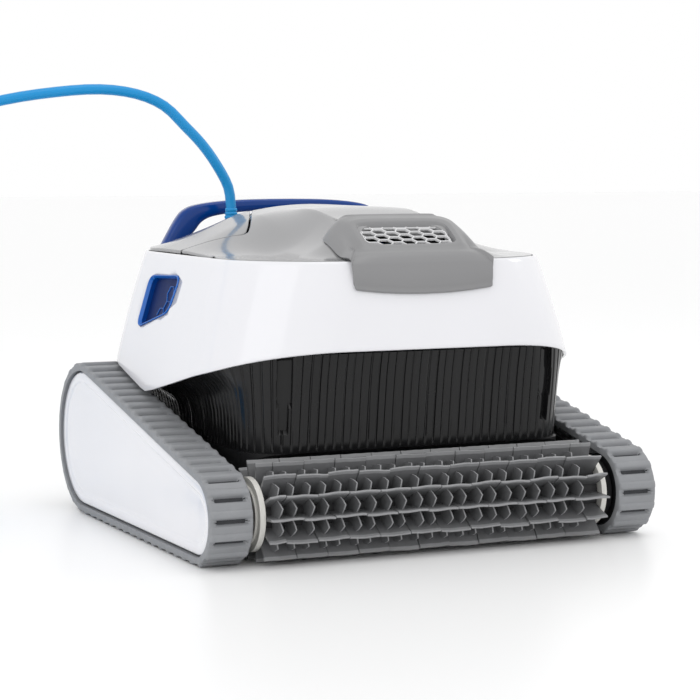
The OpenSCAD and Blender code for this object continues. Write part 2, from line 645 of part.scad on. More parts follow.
// ---- motors, seals, pump, duct ----
motor_r = 21;
motor_in_x = 24;
motor_out_x = 138;
module drive_motor_shape() {
    translate([0, wheel_base, rear_z]) difference() {
        union() {
            x_cyl(motor_in_x, motor_out_x - 22, motor_r);
            x_cyl(motor_out_x - 22, motor_out_x - 6, motor_r - 4);
            x_cyl(motor_out_x - 6, motor_out_x, seal_r + 1);
            // foot down to the tub floor
            translate([motor_in_x + 14, -16, tub_floor_z - rear_z]) cube([66, 32, rear_z - tub_floor_z - 20]);
        }
        x_cyl(motor_out_x - 12, motor_out_x + 1, shaft_r + run_fit);
    }
}
module shaft_seal_shape() {
    translate([0, wheel_base, rear_z]) difference() {
        x_cyl(tub_half_w - tub_wall - 3, tub_half_w, seal_r);
        x_cyl(tub_half_w - tub_wall - 4, tub_half_w + 1, shaft_r + run_fit);
    }
}
pump_can_r = 26;
pump_top_z = 150;
pump_shaft_r = 4;
duct_t = 3;
duct_z = 162;
duct_top = 243;
impeller_z = 196;
module pump_motor_shape() {
    translate([0, pump_y, 0]) difference() {
        union() {
            translate([0, 0, tub_floor_z]) cylinder(h = 112, r = pump_can_r);
            translate([0, 0, tub_floor_z + 112]) cylinder(h = pump_top_z - tub_floor_z - 112, r = 15);
            // three arms that carry the duct
            for (a = [0:120:240])
                rotate([0, 0, a + 90]) translate([-5, 8, 126]) cube([10, duct_r + duct_t - 10, 20]);
        }
        translate([0, 0, pump_top_z - 14]) cylinder(h = 20, r = pump_shaft_r + run_fit);
    }
}
module outlet_duct_shape() {
    translate([0, pump_y, 0]) {
        difference() {
            translate([0, 0, duct_z]) cylinder(h = duct_top - duct_z, r = duct_r + duct_t);
            translate([0, 0, duct_z - 1]) cylinder(h = duct_top - duct_z + 2, r = duct_r);
        }
        for (a = [0:120:240]) rotate([0, 0, a + 90])
            translate([-3, duct_r + 0.5, 146]) cube([6, duct_t - 1, 20]);
    }
}
module pump_shaft_shape() {
    translate([0, pump_y, pump_top_z - 12]) cylinder(h = 80, r = pump_shaft_r);
}
module impeller_shape() {
    translate([0, pump_y, impeller_z]) difference() {
        union() {
            cylinder(h = 20, r = 11);
            translate([0, 0, 20]) cylinder(h = 6, r1 = 11, r2 = 6);
            intersection() {
                cylinder(h = 22, r = duct_r - blade_gap);
                for (i = [0:blade_count - 1]) rotate([0, 0, i * 360 / blade_count])
                    translate([8, 0, 10]) rotate([38, 0, 0]) translate([0, -14, -1.2]) cube([40, 28, 2.4]);
            }
        }
        translate([0, 0, -1]) cylinder(h = 40, r = pump_shaft_r);
    }
}

// ---- filter basket with screened windows and a lift handle ----
basket_x = 134;
basket_y = [128, wheel_base - 43];
basket_z = [tub_floor_z + 6.5, 232];
basket_t = 2.4;
window_z = [60, 218];
window_h = window_z[1] - window_z[0];
window_w = 112;
window_x = 64;
window_edge = 14;
module screen_windows(grow, t) {
    // long sides
    for (s = [-1, 1]) for (i = [0, 1]) {
        wall_y = basket_y[i] + (i == 0 ? basket_t / 2 : -basket_t / 2);
        translate([s * window_x - window_w / 2 - grow, wall_y - t / 2, window_z[0] - grow])
            cube([window_w + 2 * grow, t, window_h + 2 * grow]);
    }
    // short sides
    for (s = [-1, 1])
        translate([s * (basket_x - basket_t / 2) - t / 2, basket_y[0] + window_edge - grow,
                   window_z[0] - grow])
            cube([t, basket_y[1] - basket_y[0] - 2 * window_edge + 2 * grow, window_h + 2 * grow]);
}
module filter_basket_shape() {
    difference() {
        translate([-basket_x, basket_y[0], basket_z[0]])
            cube([2 * basket_x, basket_y[1] - basket_y[0], basket_z[1] - basket_z[0]]);
        translate([-basket_x + basket_t, basket_y[0] + basket_t, basket_z[0] + basket_t])
            cube([2 * (basket_x - basket_t), basket_y[1] - basket_y[0] - 2 * basket_t, 300]);
        for (y = intake_y)
            translate([-intake_w / 2 - 8, y - 9, basket_z[0] - 1]) cube([intake_w + 16, intake_l + 15, 6]);
        screen_windows(0, 10);
    }
}
module filter_screens_shape() { screen_windows(0, 0.8); }
module basket_handle_shape() {
    rim_z = basket_z[1];
    middle_y = (basket_y[0] + basket_y[1]) / 2;
    translate([0, middle_y + 5, 0]) rotate([90, 0, 0]) linear_extrude(10) difference() {
        polygon([[-basket_x, rim_z - 8], [-basket_x, rim_z + 4], [-50, rim_z + 12],
                 [50, rim_z + 12], [basket_x, rim_z + 4], [basket_x, rim_z - 8]]);
        polygon([[-basket_x - 1, rim_z - 9], [-basket_x - 1, rim_z], [-48, rim_z + 8],
                 [48, rim_z + 8], [basket_x + 1, rim_z], [basket_x + 1, rim_z - 9]]);
    }
}
// Closed-cell block over each motor
float_size = [40, 34, 60];
float_at = [102, wheel_base - 29, 112];
module float_shape() {
    translate(float_at) cube(float_size);
}

// ---- cable: gland, strain relief, arch, storage coil, tail and plug ----
gland_at = [-64, wheel_base - 13];
gland_r = 10;
gland_top = crest_z - 18;
gland_seat = gland_top - 16;
relief_r = 8;
relief_lip = 0.8;
relief_gap = 0.3;
relief_top = crest_z - 4;
cable_r = cable_d / 2;
coil_at = [-476, 338];
coil_in_r = 65;
coil_w = 50;
coil_h = 60;
tie_w = 16;
tie_angle = 65;
cable_pts = [
    [-64, 292, relief_top], [-67, 292, 313], [-79, 291, 334], [-94, 291, 354], [-112, 291, 372],
    [-133, 291, 391], [-161, 291, 402], [-197, 291, 406], [-240, 293, 403], [-290, 298, 395],
    [-345, 303, 380], [-400, 303, 355],
    [-452, 300, 321], [-500, 296, 279], [-543, 292, 230], [-577, 289, 178], [-599, 289, 128], [-608, 292, 88],
    [-606, 299, 60], [-596, 310, 44], [-582, 325, 38]];
tail_pts = [[-474, 228, 5], [-500, 229, 5], [-526, 224, 6], [-546, 212, 10], [-560, 196, 16.5]];
function unit(v) = v / norm(v);
function catmull(p, i, t) =
    let (a = p[max(0, i - 1)], b = p[i], c = p[i + 1], d = p[min(len(p) - 1, i + 2)])
    0.5 * ((2 * b) + (c - a) * t + (2 * a - 5 * b + 4 * c - d) * t * t + (3 * b - a - 3 * c + d) * t * t * t);
function tangent(p, i) = unit(p[min(len(p) - 1, i + 1)] - p[max(0, i - 1)]);
module tube(path, r, sides) {
    n = len(path);
    pts = [for (i = [0:n - 1])
        let (t = tangent(path, i), u = unit(cross(t, [0.02, 1, 0.03])), w = cross(t, u))
        for (j = [0:sides - 1]) path[i] + r * (u * cos(360 * j / sides) + w * sin(360 * j / sides))];
    polyhedron(points = pts, faces = concat(
        [[for (j = [sides - 1:-1:0]) j]],
        [for (i = [0:n - 2]) for (j = [0:sides - 1])
            let (a = i * sides + j, b = i * sides + (j + 1) % sides)
            each [[a, b, b + sides], [a, b + sides, a + sides]]],
        [[for (j = [0:sides - 1]) (n - 1) * sides + j]]));
}
module cable_gland_shape() {
    translate([gland_at[0], gland_at[1], 0]) difference() {
        translate([0, 0, gland_seat - 5]) cylinder(h = gland_top - gland_seat + 5, r = gland_r);
        translate([0, 0, gland_seat]) cylinder(h = 40, r = relief_r + relief_gap);
    }
}
module strain_relief_shape() {
    translate([gland_at[0], gland_at[1], gland_seat])
        cylinder(h = relief_top - gland_seat, r1 = relief_r, r2 = cable_r + relief_lip);
}
module cable_tube_shape() {
    tube([for (i = [0:len(cable_pts) - 2]) for (t = [0, 0.5]) catmull(cable_pts, i, t)], cable_r, 10);
}
module cable_coil_shape() {
    translate([coil_at[0], coil_at[1], 0]) rotate_extrude($fn = 96)
        translate([coil_in_r, 0]) union() {
            translate([cable_r, 0]) square([coil_w - cable_d, coil_h]);
            translate([0, cable_r]) square([coil_w, coil_h - cable_d]);
            for (x = [cable_r, coil_w - cable_r]) for (z = [cable_r, coil_h - cable_r])
                translate([x, z]) circle(cable_r);
        }
}
module cable_tail_shape() { tube(tail_pts, cable_r, 10); }
module coil_tie_shape() {
    translate([coil_at[0], coil_at[1], 0]) rotate([0, 0, tie_angle]) translate([coil_in_r + coil_w / 2, 0, 0])
        rotate([90, 0, 0]) translate([0, 0, -tie_w / 2]) linear_extrude(tie_w) difference() {
            translate([-coil_w / 2 - 3, 0]) square([coil_w + 6, coil_h + 3]);
            translate([-coil_w / 2 - 0.2, -1]) square([coil_w + 0.4, coil_h + 1.2]);
        }
}
plug_at = tail_pts[len(tail_pts) - 1];
plug_dir = -131;
plug_grip_r = 13;
plug_ring_r = 16.5;
module plug_frame() { translate(plug_at) rotate([0, 0, plug_dir]) rotate([0, 90, 0]) children(); }
module plug_body_shape() {
    plug_frame() {
        cylinder(h = 16, r1 = plug_grip_r - 4, r2 = plug_grip_r);
        translate([0, 0, 16]) cylinder(h = 36, r = plug_grip_r);
    }
}
module plug_ring_shape() {
    plug_frame() translate([0, 0, 40]) difference() {
        cylinder(h = 22, r = plug_ring_r);
        translate([0, 0, -1]) cylinder(h = 13, r = plug_grip_r);
        translate([0, 0, 4]) cylinder(h = 30, r = plug_grip_r + 1);
    }
}
module plug_pins_shape() {
    plug_frame() for (a = [0:120:240]) rotate([0, 0, a]) translate([6, 0, 52]) cylinder(h = 8, r = 1.5);
}

// ---- nodes ----
belt_grey = [0.55, 0.57, 0.59];
black = [0.1, 0.1, 0.11];
white = [0.93, 0.93, 0.95];
lid_grey = [0.68, 0.69, 0.7];
nozzle_grey = [0.56, 0.57, 0.58];
navy = [0.02, 0.2, 0.5];
sky = [0.12, 0.58, 0.82];
steel = [0.7, 0.7, 0.72];
brush_grey = [0.4, 0.41, 0.43];

module base_tub() { color(black) placed() base_tub_shape(); }
module ribbed_body() { color(black) placed() ribbed_body_shape(); }
module outer_shell() { color(white) placed() outer_shell_shape(); }
module top_deck() { color(lid_grey) placed() top_deck_shape(); }
module carry_handle() { color(navy) placed() carry_handle_shape(); }
module side_vent_left() { color(navy) placed() side(-1) side_vent_shape(); }
module side_vent_right() { color(navy) placed() side(1) side_vent_shape(); }
module side_frame_left() { color(black) placed() side(-1) side_frame_shape(); }
module side_frame_right() { color(black) placed() side(1) side_frame_shape(); }
module side_cover_left() { color(white) placed() side(-1) side_cover_shape(); }
module side_cover_right() { color(white) placed() side(1) side_cover_shape(); }
module cover_screws_left() { color(steel) placed() side(-1) cover_screws_shape(); }
module cover_screws_right() { color(steel) placed() side(1) cover_screws_shape(); }
module track_belt_left() { color(belt_grey) placed() side(-1) track_belt(); }
module track_belt_right() { color(belt_grey) placed() side(1) track_belt(); }
module front_bush_left() { color(white) placed() side(-1) front_bush_shape(); }
module front_bush_right() { color(white) placed() side(1) front_bush_shape(); }
module rear_bearing_left() { color(steel) placed() side(-1) rear_bearing_shape(); }
module rear_bearing_right() { color(steel) placed() side(1) rear_bearing_shape(); }
module drive_motor_left() { color(black) placed() side(-1) drive_motor_shape(); }
module drive_motor_right() { color(black) placed() side(1) drive_motor_shape(); }
module shaft_seal_left() { color(black) placed() side(-1) shaft_seal_shape(); }
module shaft_seal_right() { color(black) placed() side(1) shaft_seal_shape(); }
module pump_motor() { color(black) placed() pump_motor_shape(); }
module outlet_duct() { color(black) placed() outlet_duct_shape(); }
module filter_basket() { color(white) placed() filter_basket_shape(); }
module filter_screens() { color(nozzle_grey) placed() filter_screens_shape(); }
module basket_handle() { color(navy) placed() basket_handle_shape(); }
module lid_hinge_pin() { color(steel) placed() lid_hinge_pin_shape(); }
module flap_pin_front() { color(steel) placed() flap_pin_shape(intake_y[0]); }
module flap_pin_rear() { color(steel) placed() flap_pin_shape(intake_y[1]); }
module float_left() { color(white) placed() side(-1) float_shape(); }
module float_right() { color(white) placed() side(1) float_shape(); }
module cable_gland() { color(black) placed() cable_gland_shape(); }
module strain_relief() { color(sky) placed() strain_relief_shape(); }
module cable_tube() { color(sky) placed() cable_tube_shape(); }
module cable_coil() { color(sky) placed() cable_coil_shape(); }
module cable_tail() { color(sky) placed() cable_tail_shape(); }
module coil_tie() { color(black) placed() coil_tie_shape(); }
module plug_body() { color(black) placed() plug_body_shape(); }
module plug_ring() { color(navy) placed() plug_ring_shape(); }
module plug_pins() { color(steel) placed() plug_pins_shape(); }
module drive_wheel_left() { color(black) placed() side(-1) drive_wheel_shape(); }
module drive_wheel_right() { color(black) placed() side(1) drive_wheel_shape(); }
module drive_shaft_left() { color(steel) placed() side(-1) drive_shaft_shape(); }
module drive_shaft_right() { color(steel) placed() side(1) drive_shaft_shape(); }
module front_wheel_left() { color(black) placed() side(-1) front_wheel_shape(); }
module front_wheel_right() { color(black) placed() side(1) front_wheel_shape(); }
module brush_core() { color(brush_grey) placed() brush_core_shape(); }
module brush_flaps() { color(brush_grey) placed() brush_flaps_shape(); }
module brush_ring_left() { color(white) placed() side(-1) brush_ring_shape(spigot_r); }
module brush_ring_right() { color(white) placed() side(1) brush_ring_shape(spigot_r + run_fit); }
module pump_shaft() { color(steel) placed() pump_shaft_shape(); }
module impeller() { color(white) placed() impeller_shape(); }
module lid() { color(lid_grey) placed() lid_shape(); }
module nozzle_cover() { color(nozzle_grey) placed() nozzle_cover_shape(); }
module outlet_grille() { color(white) placed() outlet_grille_shape(); }
module intake_flap_front() { color(black) placed() intake_flap_shape(intake_y[0]); }
module intake_flap_rear() { color(black) placed() intake_flap_shape(intake_y[1]); }

base_tub();
ribbed_body();
outer_shell();
top_deck();
carry_handle();
side_vent_left();
side_vent_right();
side_frame_left();
side_frame_right();
side_cover_left();
side_cover_right();
cover_screws_left();
cover_screws_right();
track_belt_left();
track_belt_right();
front_bush_left();
front_bush_right();
rear_bearing_left();
rear_bearing_right();
drive_motor_left();
drive_motor_right();
shaft_seal_left();
shaft_seal_right();
pump_motor();
outlet_duct();
filter_basket();
filter_screens();
basket_handle();
lid_hinge_pin();
flap_pin_front();
flap_pin_rear();
float_left();
float_right();
cable_gland();
strain_relief();
cable_tube();
cable_coil();
cable_tail();
coil_tie();
plug_body();
plug_ring();
plug_pins();
drive_wheel_left();
drive_wheel_right();
drive_shaft_left();
drive_shaft_right();
front_wheel_left();
front_wheel_right();
brush_core();
brush_flaps();
brush_ring_left();
brush_ring_right();
pump_shaft();
impeller();
lid();
nozzle_cover();
outlet_grille();
intake_flap_front();
intake_flap_rear();
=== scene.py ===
"""Looks of the tracked pool cleaner: camera, light, cable, and detailed pieces round the CAD frame."""
import json
import math

import bmesh
import bpy
from mathutils import Matrix, Vector


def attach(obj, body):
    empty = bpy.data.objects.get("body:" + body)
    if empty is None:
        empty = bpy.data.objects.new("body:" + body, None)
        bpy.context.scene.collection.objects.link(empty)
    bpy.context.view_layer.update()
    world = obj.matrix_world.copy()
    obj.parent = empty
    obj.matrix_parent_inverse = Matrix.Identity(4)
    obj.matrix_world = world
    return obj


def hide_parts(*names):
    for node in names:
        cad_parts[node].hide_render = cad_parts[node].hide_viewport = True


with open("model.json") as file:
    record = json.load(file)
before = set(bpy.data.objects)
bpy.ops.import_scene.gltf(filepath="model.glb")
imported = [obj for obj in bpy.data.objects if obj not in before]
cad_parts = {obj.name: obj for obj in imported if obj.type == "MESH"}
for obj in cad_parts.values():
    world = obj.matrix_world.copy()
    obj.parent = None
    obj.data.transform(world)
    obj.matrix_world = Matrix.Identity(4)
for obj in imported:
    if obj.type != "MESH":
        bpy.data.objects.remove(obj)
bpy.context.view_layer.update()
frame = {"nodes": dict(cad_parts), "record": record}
NODES = frame["nodes"]

# ---------------------------------------------------------------- sizes, mm, y from the front axle
FRONT_AXLE_Y = -166.0
WHEEL_BASE = 305.0
HALF_W = 215.0
BELT_W = 38.0
FRONT_R, REAR_R = 41.0, 73.0
RIDGE_H, BAND_T = 3.0, 5.0
RIDGE_COUNT = 50
BELT_IN_X = HALF_W - BELT_W
SLOPE = 2 * math.atan((REAR_R - FRONT_R) / WHEEL_BASE)
SHELL_TOP_Z, CREST_Z, HANDLE_TOP_Z = 253.0, 297.0, 300.5
SKIN_T = 3.0
SHELL_BOT = (190.0, -15.0, 335.0, 106.0, 60.0)
SHELL_TOP = (155.0, 5.0, 330.0, 97.0, 55.0)
SHELL_REF_Z = 127.0
V_CORNER_Y = 193.0
LOW_POINT_Z = 127.0
TUB_HALF_W, TUB_FRONT, TUB_REAR, WAIST_Z = 155.0, 14.0, 332.0, 88.3
HINGE_Y, HINGE_Z = 271.0, 283.0
BRUSH_R, CORE_R, BRUSH_HALF_L, FLAP_ROWS = 46.0, 24.0, 168.0, 14
CABLE_D = 10.0


def P(x, y, z):
    """A point in the part's frame, in metres."""
    return Vector((x, y + FRONT_AXLE_Y, z)) / 1000


def mix(a, b, t):
    return a + (b - a) * t


def clamp01(v):
    return min(1.0, max(0.0, v))


def smooth(v):
    c = clamp01(v)
    return c * c * (3 - 2 * c)


# ---------------------------------------------------------------- camera
CAM_AT = Vector((-0.86907, -1.89611, 0.34619))
CAM_FORWARD = Vector((0.41724, 0.90450, -0.08831))
LENS_MM = 114.4


def make_camera():
    data = bpy.data.cameras.new("camera")
    data.lens = LENS_MM
    data.sensor_width = 36
    data.clip_end = 50
    cam = bpy.data.objects.new("camera", data)
    cam.location = CAM_AT
    cam.rotation_mode = "QUATERNION"
    cam.rotation_quaternion = CAM_FORWARD.to_track_quat("-Z", "Y")
    bpy.context.scene.collection.objects.link(cam)
    bpy.context.scene.camera = cam


make_camera()


# ---------------------------------------------------------------- materials
def new_mat(name):
    m = bpy.data.materials.new(name)
    m.use_nodes = True
    nt = m.node_tree
    return m, nt, nt.nodes["Principled BSDF"]


def coords(nt, scale=1.0):
    tc = nt.nodes.new("ShaderNodeTexCoord")
    mp = nt.nodes.new("ShaderNodeMapping")
    mp.inputs["Scale"].default_value = (scale, scale, scale)
    nt.links.new(tc.outputs["Object"], mp.inputs["Vector"])
    return mp.outputs["Vector"]


def noise(nt, vec, scale, detail=3.0, rough=0.5):
    n = nt.nodes.new("ShaderNodeTexNoise")
    n.inputs["Scale"].default_value = scale
    n.inputs["Detail"].default_value = detail
    n.inputs["Roughness"].default_value = rough
    nt.links.new(vec, n.inputs["Vector"])
    return n.outputs["Fac"]


def ramp(nt, fac, stops):
    r = nt.nodes.new("ShaderNodeValToRGB")
    el = r.color_ramp.elements
    while len(el) < len(stops):
        el.new(0.5)
    for e, (pos, col) in zip(el, stops):
        e.position = pos
        e.color = col if len(col) == 4 else (*col, 1)
    nt.links.new(fac, r.inputs["Fac"])
    return r.outputs["Color"]


def bump(nt, bsdf, height, strength, distance):
    b = nt.nodes.new("ShaderNodeBump")
    b.inputs["Strength"].default_value = strength
    b.inputs["Distance"].default_value = distance
    nt.links.new(height, b.inputs["Height"])
    nt.links.new(b.outputs["Normal"], bsdf.inputs["Normal"])
    return b


def grey(v):
    return (v, v, v)


def tinted(color, k):
    return tuple(min(1.0, c * k) for c in color)


def plastic(name, color, rough, spread=0.06, coat=0.0, grain=0.0, variation=0.04, specular=0.5):
    """Moulded plastic: slow colour variation, uneven gloss, fine moulded grain."""
    m, nt, bsdf = new_mat(name)
    vec = coords(nt)
    slow = noise(nt, vec, 9.0, 2.0)
    nt.links.new(
        ramp(nt, slow, [(0.3, tinted(color, 1 - variation)), (0.7, tinted(color, 1 + variation))]),
        bsdf.inputs["Base Color"],
    )
    haze = noise(nt, vec, 38.0, 4.0, 0.6)
    nt.links.new(
        ramp(nt, haze, [(0.3, grey(max(0.02, rough - spread))), (0.75, grey(rough + spread))]),
        bsdf.inputs["Roughness"],
    )
    bsdf.inputs["Coat Weight"].default_value = coat
    bsdf.inputs["Coat Roughness"].default_value = 0.05
    bsdf.inputs["Specular IOR Level"].default_value = specular
    if grain:
        bump(nt, bsdf, noise(nt, vec, 900.0, 2.0), grain, 0.0004)
    return m


def rubber(name, color, rough=0.55, dust=0.25, grain=0.35):
    """Rubber: mottled, dusty, with a fine moulded grain."""
    m, nt, bsdf = new_mat(name)
    vec = coords(nt)
    mottled = noise(nt, vec, 60.0, 6.0, 0.65)
    nt.links.new(
        ramp(nt, mottled, [(0.25, tinted(color, 1 - dust * 0.6)), (0.55, color), (0.8, tinted(color, 1 + dust))]),
        bsdf.inputs["Base Color"],
    )
    nt.links.new(
        ramp(nt, noise(nt, vec, 140.0, 3.0), [(0.3, grey(rough - 0.08)), (0.7, grey(rough + 0.1))]),
        bsdf.inputs["Roughness"],
    )
    bump(nt, bsdf, noise(nt, vec, 1100.0, 3.0), grain, 0.0003)
    return m


def metal(name, color, rough, stretch):
    """Turned or brushed metal: streaks round or along one axis."""
    m, nt, bsdf = new_mat(name)
    tc = nt.nodes.new("ShaderNodeTexCoord")
    mp = nt.nodes.new("ShaderNodeMapping")
    mp.inputs["Scale"].default_value = stretch
    nt.links.new(tc.outputs["Object"], mp.inputs["Vector"])
    streak = noise(nt, mp.outputs["Vector"], 300.0, 3.0)
    nt.links.new(
        ramp(nt, streak, [(0.3, tinted(color, 0.85)), (0.7, tinted(color, 1.08))]), bsdf.inputs["Base Color"]
    )
    nt.links.new(ramp(nt, streak, [(0.3, grey(rough - 0.08)), (0.7, grey(rough + 0.1))]), bsdf.inputs["Roughness"])
    bsdf.inputs["Metallic"].default_value = 1.0
    bump(nt, bsdf, streak, 0.15, 0.0001)
    return m


def woven(name, color):
    """Fine woven screen: crossed wave lines in colour and bump."""
    m, nt, bsdf = new_mat(name)
    vec = coords(nt)
    waves = []
    for direction in ("X", "Y", "Z"):
        w = nt.nodes.new("ShaderNodeTexWave")
        w.bands_direction = direction
        w.inputs["Scale"].default_value = 220.0
        nt.links.new(vec, w.inputs["Vector"])
        waves.append(w.outputs["Fac"])
    add = waves[0]
    for w in waves[1:]:
        a = nt.nodes.new("ShaderNodeMath")
        a.operation = "MULTIPLY"
        nt.links.new(add, a.inputs[0])
        nt.links.new(w, a.inputs[1])
        add = a.outputs[0]
    nt.links.new(ramp(nt, add, [(0.0, tinted(color, 0.5)), (0.3, color)]), bsdf.inputs["Base Color"])
    bsdf.inputs["Roughness"].default_value = 0.7
    bump(nt, bsdf, add, 0.5, 0.0004)
    return m


MAT = {
    "white_gloss": plastic("white_gloss_plastic", (0.79, 0.79, 0.82), 0.16, 0.03, coat=0.5, variation=0.012),
    "lid_grey": plastic("lid_grey_plastic", (0.285, 0.285, 0.29), 0.17, 0.04, coat=0.3, variation=0.02),
    "nozzle_grey": plastic("nozzle_grey_plastic", (0.235, 0.235, 0.24), 0.36, 0.05, grain=0.05, variation=0.02),
    "grille_silver": plastic("grille_silver_paint", (0.74, 0.74, 0.75), 0.28, 0.05, coat=0.2),
    "ribbed_black": plastic("ribbed_black_plastic", (0.0075, 0.0075, 0.008), 0.2, 0.04, variation=0.2, specular=0.28),
    "black_plastic": plastic("black_plastic", (0.012, 0.012, 0.013), 0.36, 0.08, grain=0.15, specular=0.25),
    "navy_blue": plastic("navy_blue_plastic", (0.0, 0.042, 0.24), 0.14, 0.04, variation=0.08, specular=0.35),
    # painted highlight: a lighter blue for the vent's rim lip and honeycomb lines, where light catches the blue plastic
    "blue_painted_highlight": plastic("blue_painted_highlight_plastic", (0.006, 0.12, 0.48), 0.2, 0.04, specular=0.4),
    # painted shade: a near-black blue for the vent's recessed back
    "vent_back_painted_shade": plastic("vent_back_painted_shade_blue_plastic", (0.001, 0.016, 0.10), 0.45, 0.04, specular=0.1),
    "track_rubber": rubber("track_rubber", (0.255, 0.262, 0.275), 0.5, 0.1),
    # painted shade: a darker rubber for the tread pockets and drive teeth, standing in for the shade in those recesses
    "pocket_painted_shade": rubber("track_pocket_painted_shade", (0.035, 0.037, 0.042), 0.65, 0.15),
    "brush_rubber": rubber("brush_rubber", (0.145, 0.147, 0.152), 0.45, 0.15),
    "flap_edge": rubber("brush_flap_edge", (0.27, 0.273, 0.28), 0.4, 0.1),
    "brush_core_plastic": rubber("brush_core_plastic", (0.03, 0.03, 0.032), 0.6, 0.2),
    "off_white_plastic": plastic("off_white_plastic", (0.70, 0.69, 0.65), 0.35, 0.06, grain=0.08),
    "screen_mesh": woven("screen_mesh", (0.55, 0.57, 0.6)),
    "stainless_steel": metal("stainless_steel", (0.62, 0.62, 0.64), 0.26, (1, 1, 8)),
    "motor_can": plastic("motor_can_plastic", (0.05, 0.05, 0.055), 0.5, 0.08, grain=0.3),
    "seal_rubber": rubber("seal_rubber", (0.02, 0.02, 0.021), 0.6),
    "foam": rubber("closed_cell_foam", (0.78, 0.78, 0.74), 0.85, 0.08, 1.0),
    "cable_blue": plastic("cable_blue_jacket", (0.003, 0.27, 0.62), 0.32, 0.05, grain=0.08, variation=0.05, specular=0.4),
}


# ---------------------------------------------------------------- mesh helpers
def mesh_object(name, verts, faces, slot, body="root", replaces=(), mats=None, face_mats=None, sharp=35.0):
    """A mesh piece from millimetre points, shaded smooth with sharp edges above an angle."""
    me = bpy.data.meshes.new(name)
    me.from_pydata([P(*v) for v in verts], [], faces)
    me.validate()
    for key in mats or [slot]:
        me.materials.append(MAT[key])
    if face_mats:
        for poly, k in zip(me.polygons, face_mats):
            poly.material_index = k
    return finish_piece(name, me, body, replaces, sharp)


def finish_piece(name, me, body, replaces=(), sharp=35.0):
    bm = bmesh.new()
    bm.from_mesh(me)
    bmesh.ops.recalc_face_normals(bm, faces=bm.faces)
    bm.to_mesh(me)
    bm.free()
    for poly in me.polygons:
        poly.use_smooth = True
    me.set_sharp_from_angle(angle=math.radians(sharp))
    ob = bpy.data.objects.new(name, me)
    bpy.context.scene.collection.objects.link(ob)
    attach(ob, body)
    if replaces:
        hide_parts(*replaces)
    return ob


def loft(rings, closed=True, ring_closed=True):
    """Quads between rings of equal length. closed joins the last ring to the first."""
    n, m = len(rings[0]), len(rings)
    verts = [p for r in rings for p in r]
    faces = []
    for i in range(m if closed else m - 1):
        for j in range(n if ring_closed else n - 1):
            a, b = i * n + j, i * n + (j + 1) % n
            k = ((i + 1) % m) * n
            faces.append((a, b, k + (j + 1) % n, k + j))
    return verts, faces


def join_shapes(*shapes):
    verts, faces = [], []
    for v, f in shapes:
        base = len(verts)
        verts += v
        faces += [tuple(i + base for i in face) for face in f]
    return verts, faces


def capped(rings):
    """Loft open along its length, with both ends closed by a fan polygon."""
    verts, faces = loft(rings, closed=False)
    n = len(rings[0])
    faces.append(tuple(reversed(range(n))))
    faces.append(tuple(range(len(verts) - n, len(verts))))
    return verts, faces


def bevelled(ob, width, segments=3, angle=40.0):
    """Rounds the edges sharper than an angle and applies it."""
    mod = ob.modifiers.new("bevel", "BEVEL")
    mod.width = width / 1000
    mod.segments = segments
    mod.limit_method = "ANGLE"
    mod.angle_limit = math.radians(angle)
    mod.harden_normals = True
    apply_modifiers(ob)
    return ob


def apply_modifiers(ob):
    dg = bpy.context.evaluated_depsgraph_get()
    me = bpy.data.meshes.new_from_object(ob.evaluated_get(dg))
    ob.modifiers.clear()
    ob.data = me


def resample(points, step):
    """Points along a closed outline, at most step apart, with its own corners kept."""
    out = []
    for i, a in enumerate(points):
        b = points[(i + 1) % len(points)]
        n = max(1, math.ceil(math.dist(a, b) / step))
        out += [tuple(mix(p, q, k / n) for p, q in zip(a, b)) for k in range(n)]
    return out


def rounded(points, radius, seg=5):
    """A closed 2-D outline with its corners rounded."""
    out = []
    n = len(points)
    for i in range(n):
        p, q, r = (Vector(points[(i + k - 1) % n]) for k in range(3))
        a, b = (p - q), (r - q)
        cut = min(radius, a.length * 0.45, b.length * 0.45)
        s, e = q + a.normalized() * cut, q + b.normalized() * cut
        out += [tuple((s * (1 - t) ** 2) + q * (2 * t * (1 - t)) + e * t * t) for t in (k / seg for k in range(seg + 1))]
    return out


# ---------------------------------------------------------------- shell and ribbed body
ARC_N = 22


def half_plan(hw, f, b, rf, rr, yv, line_n=6):
    """Half an outline from the front middle round the +x side to the rear middle."""
    pts = [((hw - rf) * i / line_n, f) for i in range(line_n)]
    for i in range(ARC_N + 1):
        t = math.radians(-90 + 90 * i / ARC_N)
        pts.append((hw - rf + rf * math.cos(t), f + rf + rf * math.sin(t)))
    side = [mix(f + rf, yv, k / line_n) for k in range(1, line_n)] + [yv]
    side += [mix(yv, b - rr, k / line_n) for k in range(1, line_n)]
    pts += [(hw, y) for y in side]
    for i in range(ARC_N + 1):
        t = math.radians(90 * i / ARC_N)
        pts.append((hw - rr + rr * math.cos(t), b - rr + rr * math.sin(t)))
    pts += [((hw - rr) * (1 - k / line_n), b) for k in range(1, line_n + 1)]
    return pts


def full_plan(half):
    return half + [(-x, y) for x, y in reversed(half[1:-1])]


def low_edge(y):
    """The shell's lower edge, with its point rounded."""
    spread = (-8.0, -4.0, 0.0, 4.0, 8.0)
    return sum(low_line(y + d) for d in spread) / len(spread)


def low_line(y):
    if y < 15:
        return mix(178, 170, clamp01((y + 15) / 30))
    if y < 60:
        return mix(170, 157, (y - 15) / 45)
    if y < V_CORNER_Y:
        return mix(157, LOW_POINT_Z, (y - 60) / (V_CORNER_Y - 60))
    return min(LOW_POINT_Z + (y - V_CORNER_Y) * 0.215, 152)


def bulge(t):
    return 0.73 * t + 0.27 * t * t


def shell_plan(t, inset):
    q = [mix(a, b, bulge(t)) for a, b in zip(SHELL_BOT, SHELL_TOP)]
    return full_plan(half_plan(q[0] - inset, q[1] + inset, q[2] - inset, q[3] - inset, q[4] - inset, V_CORNER_Y))


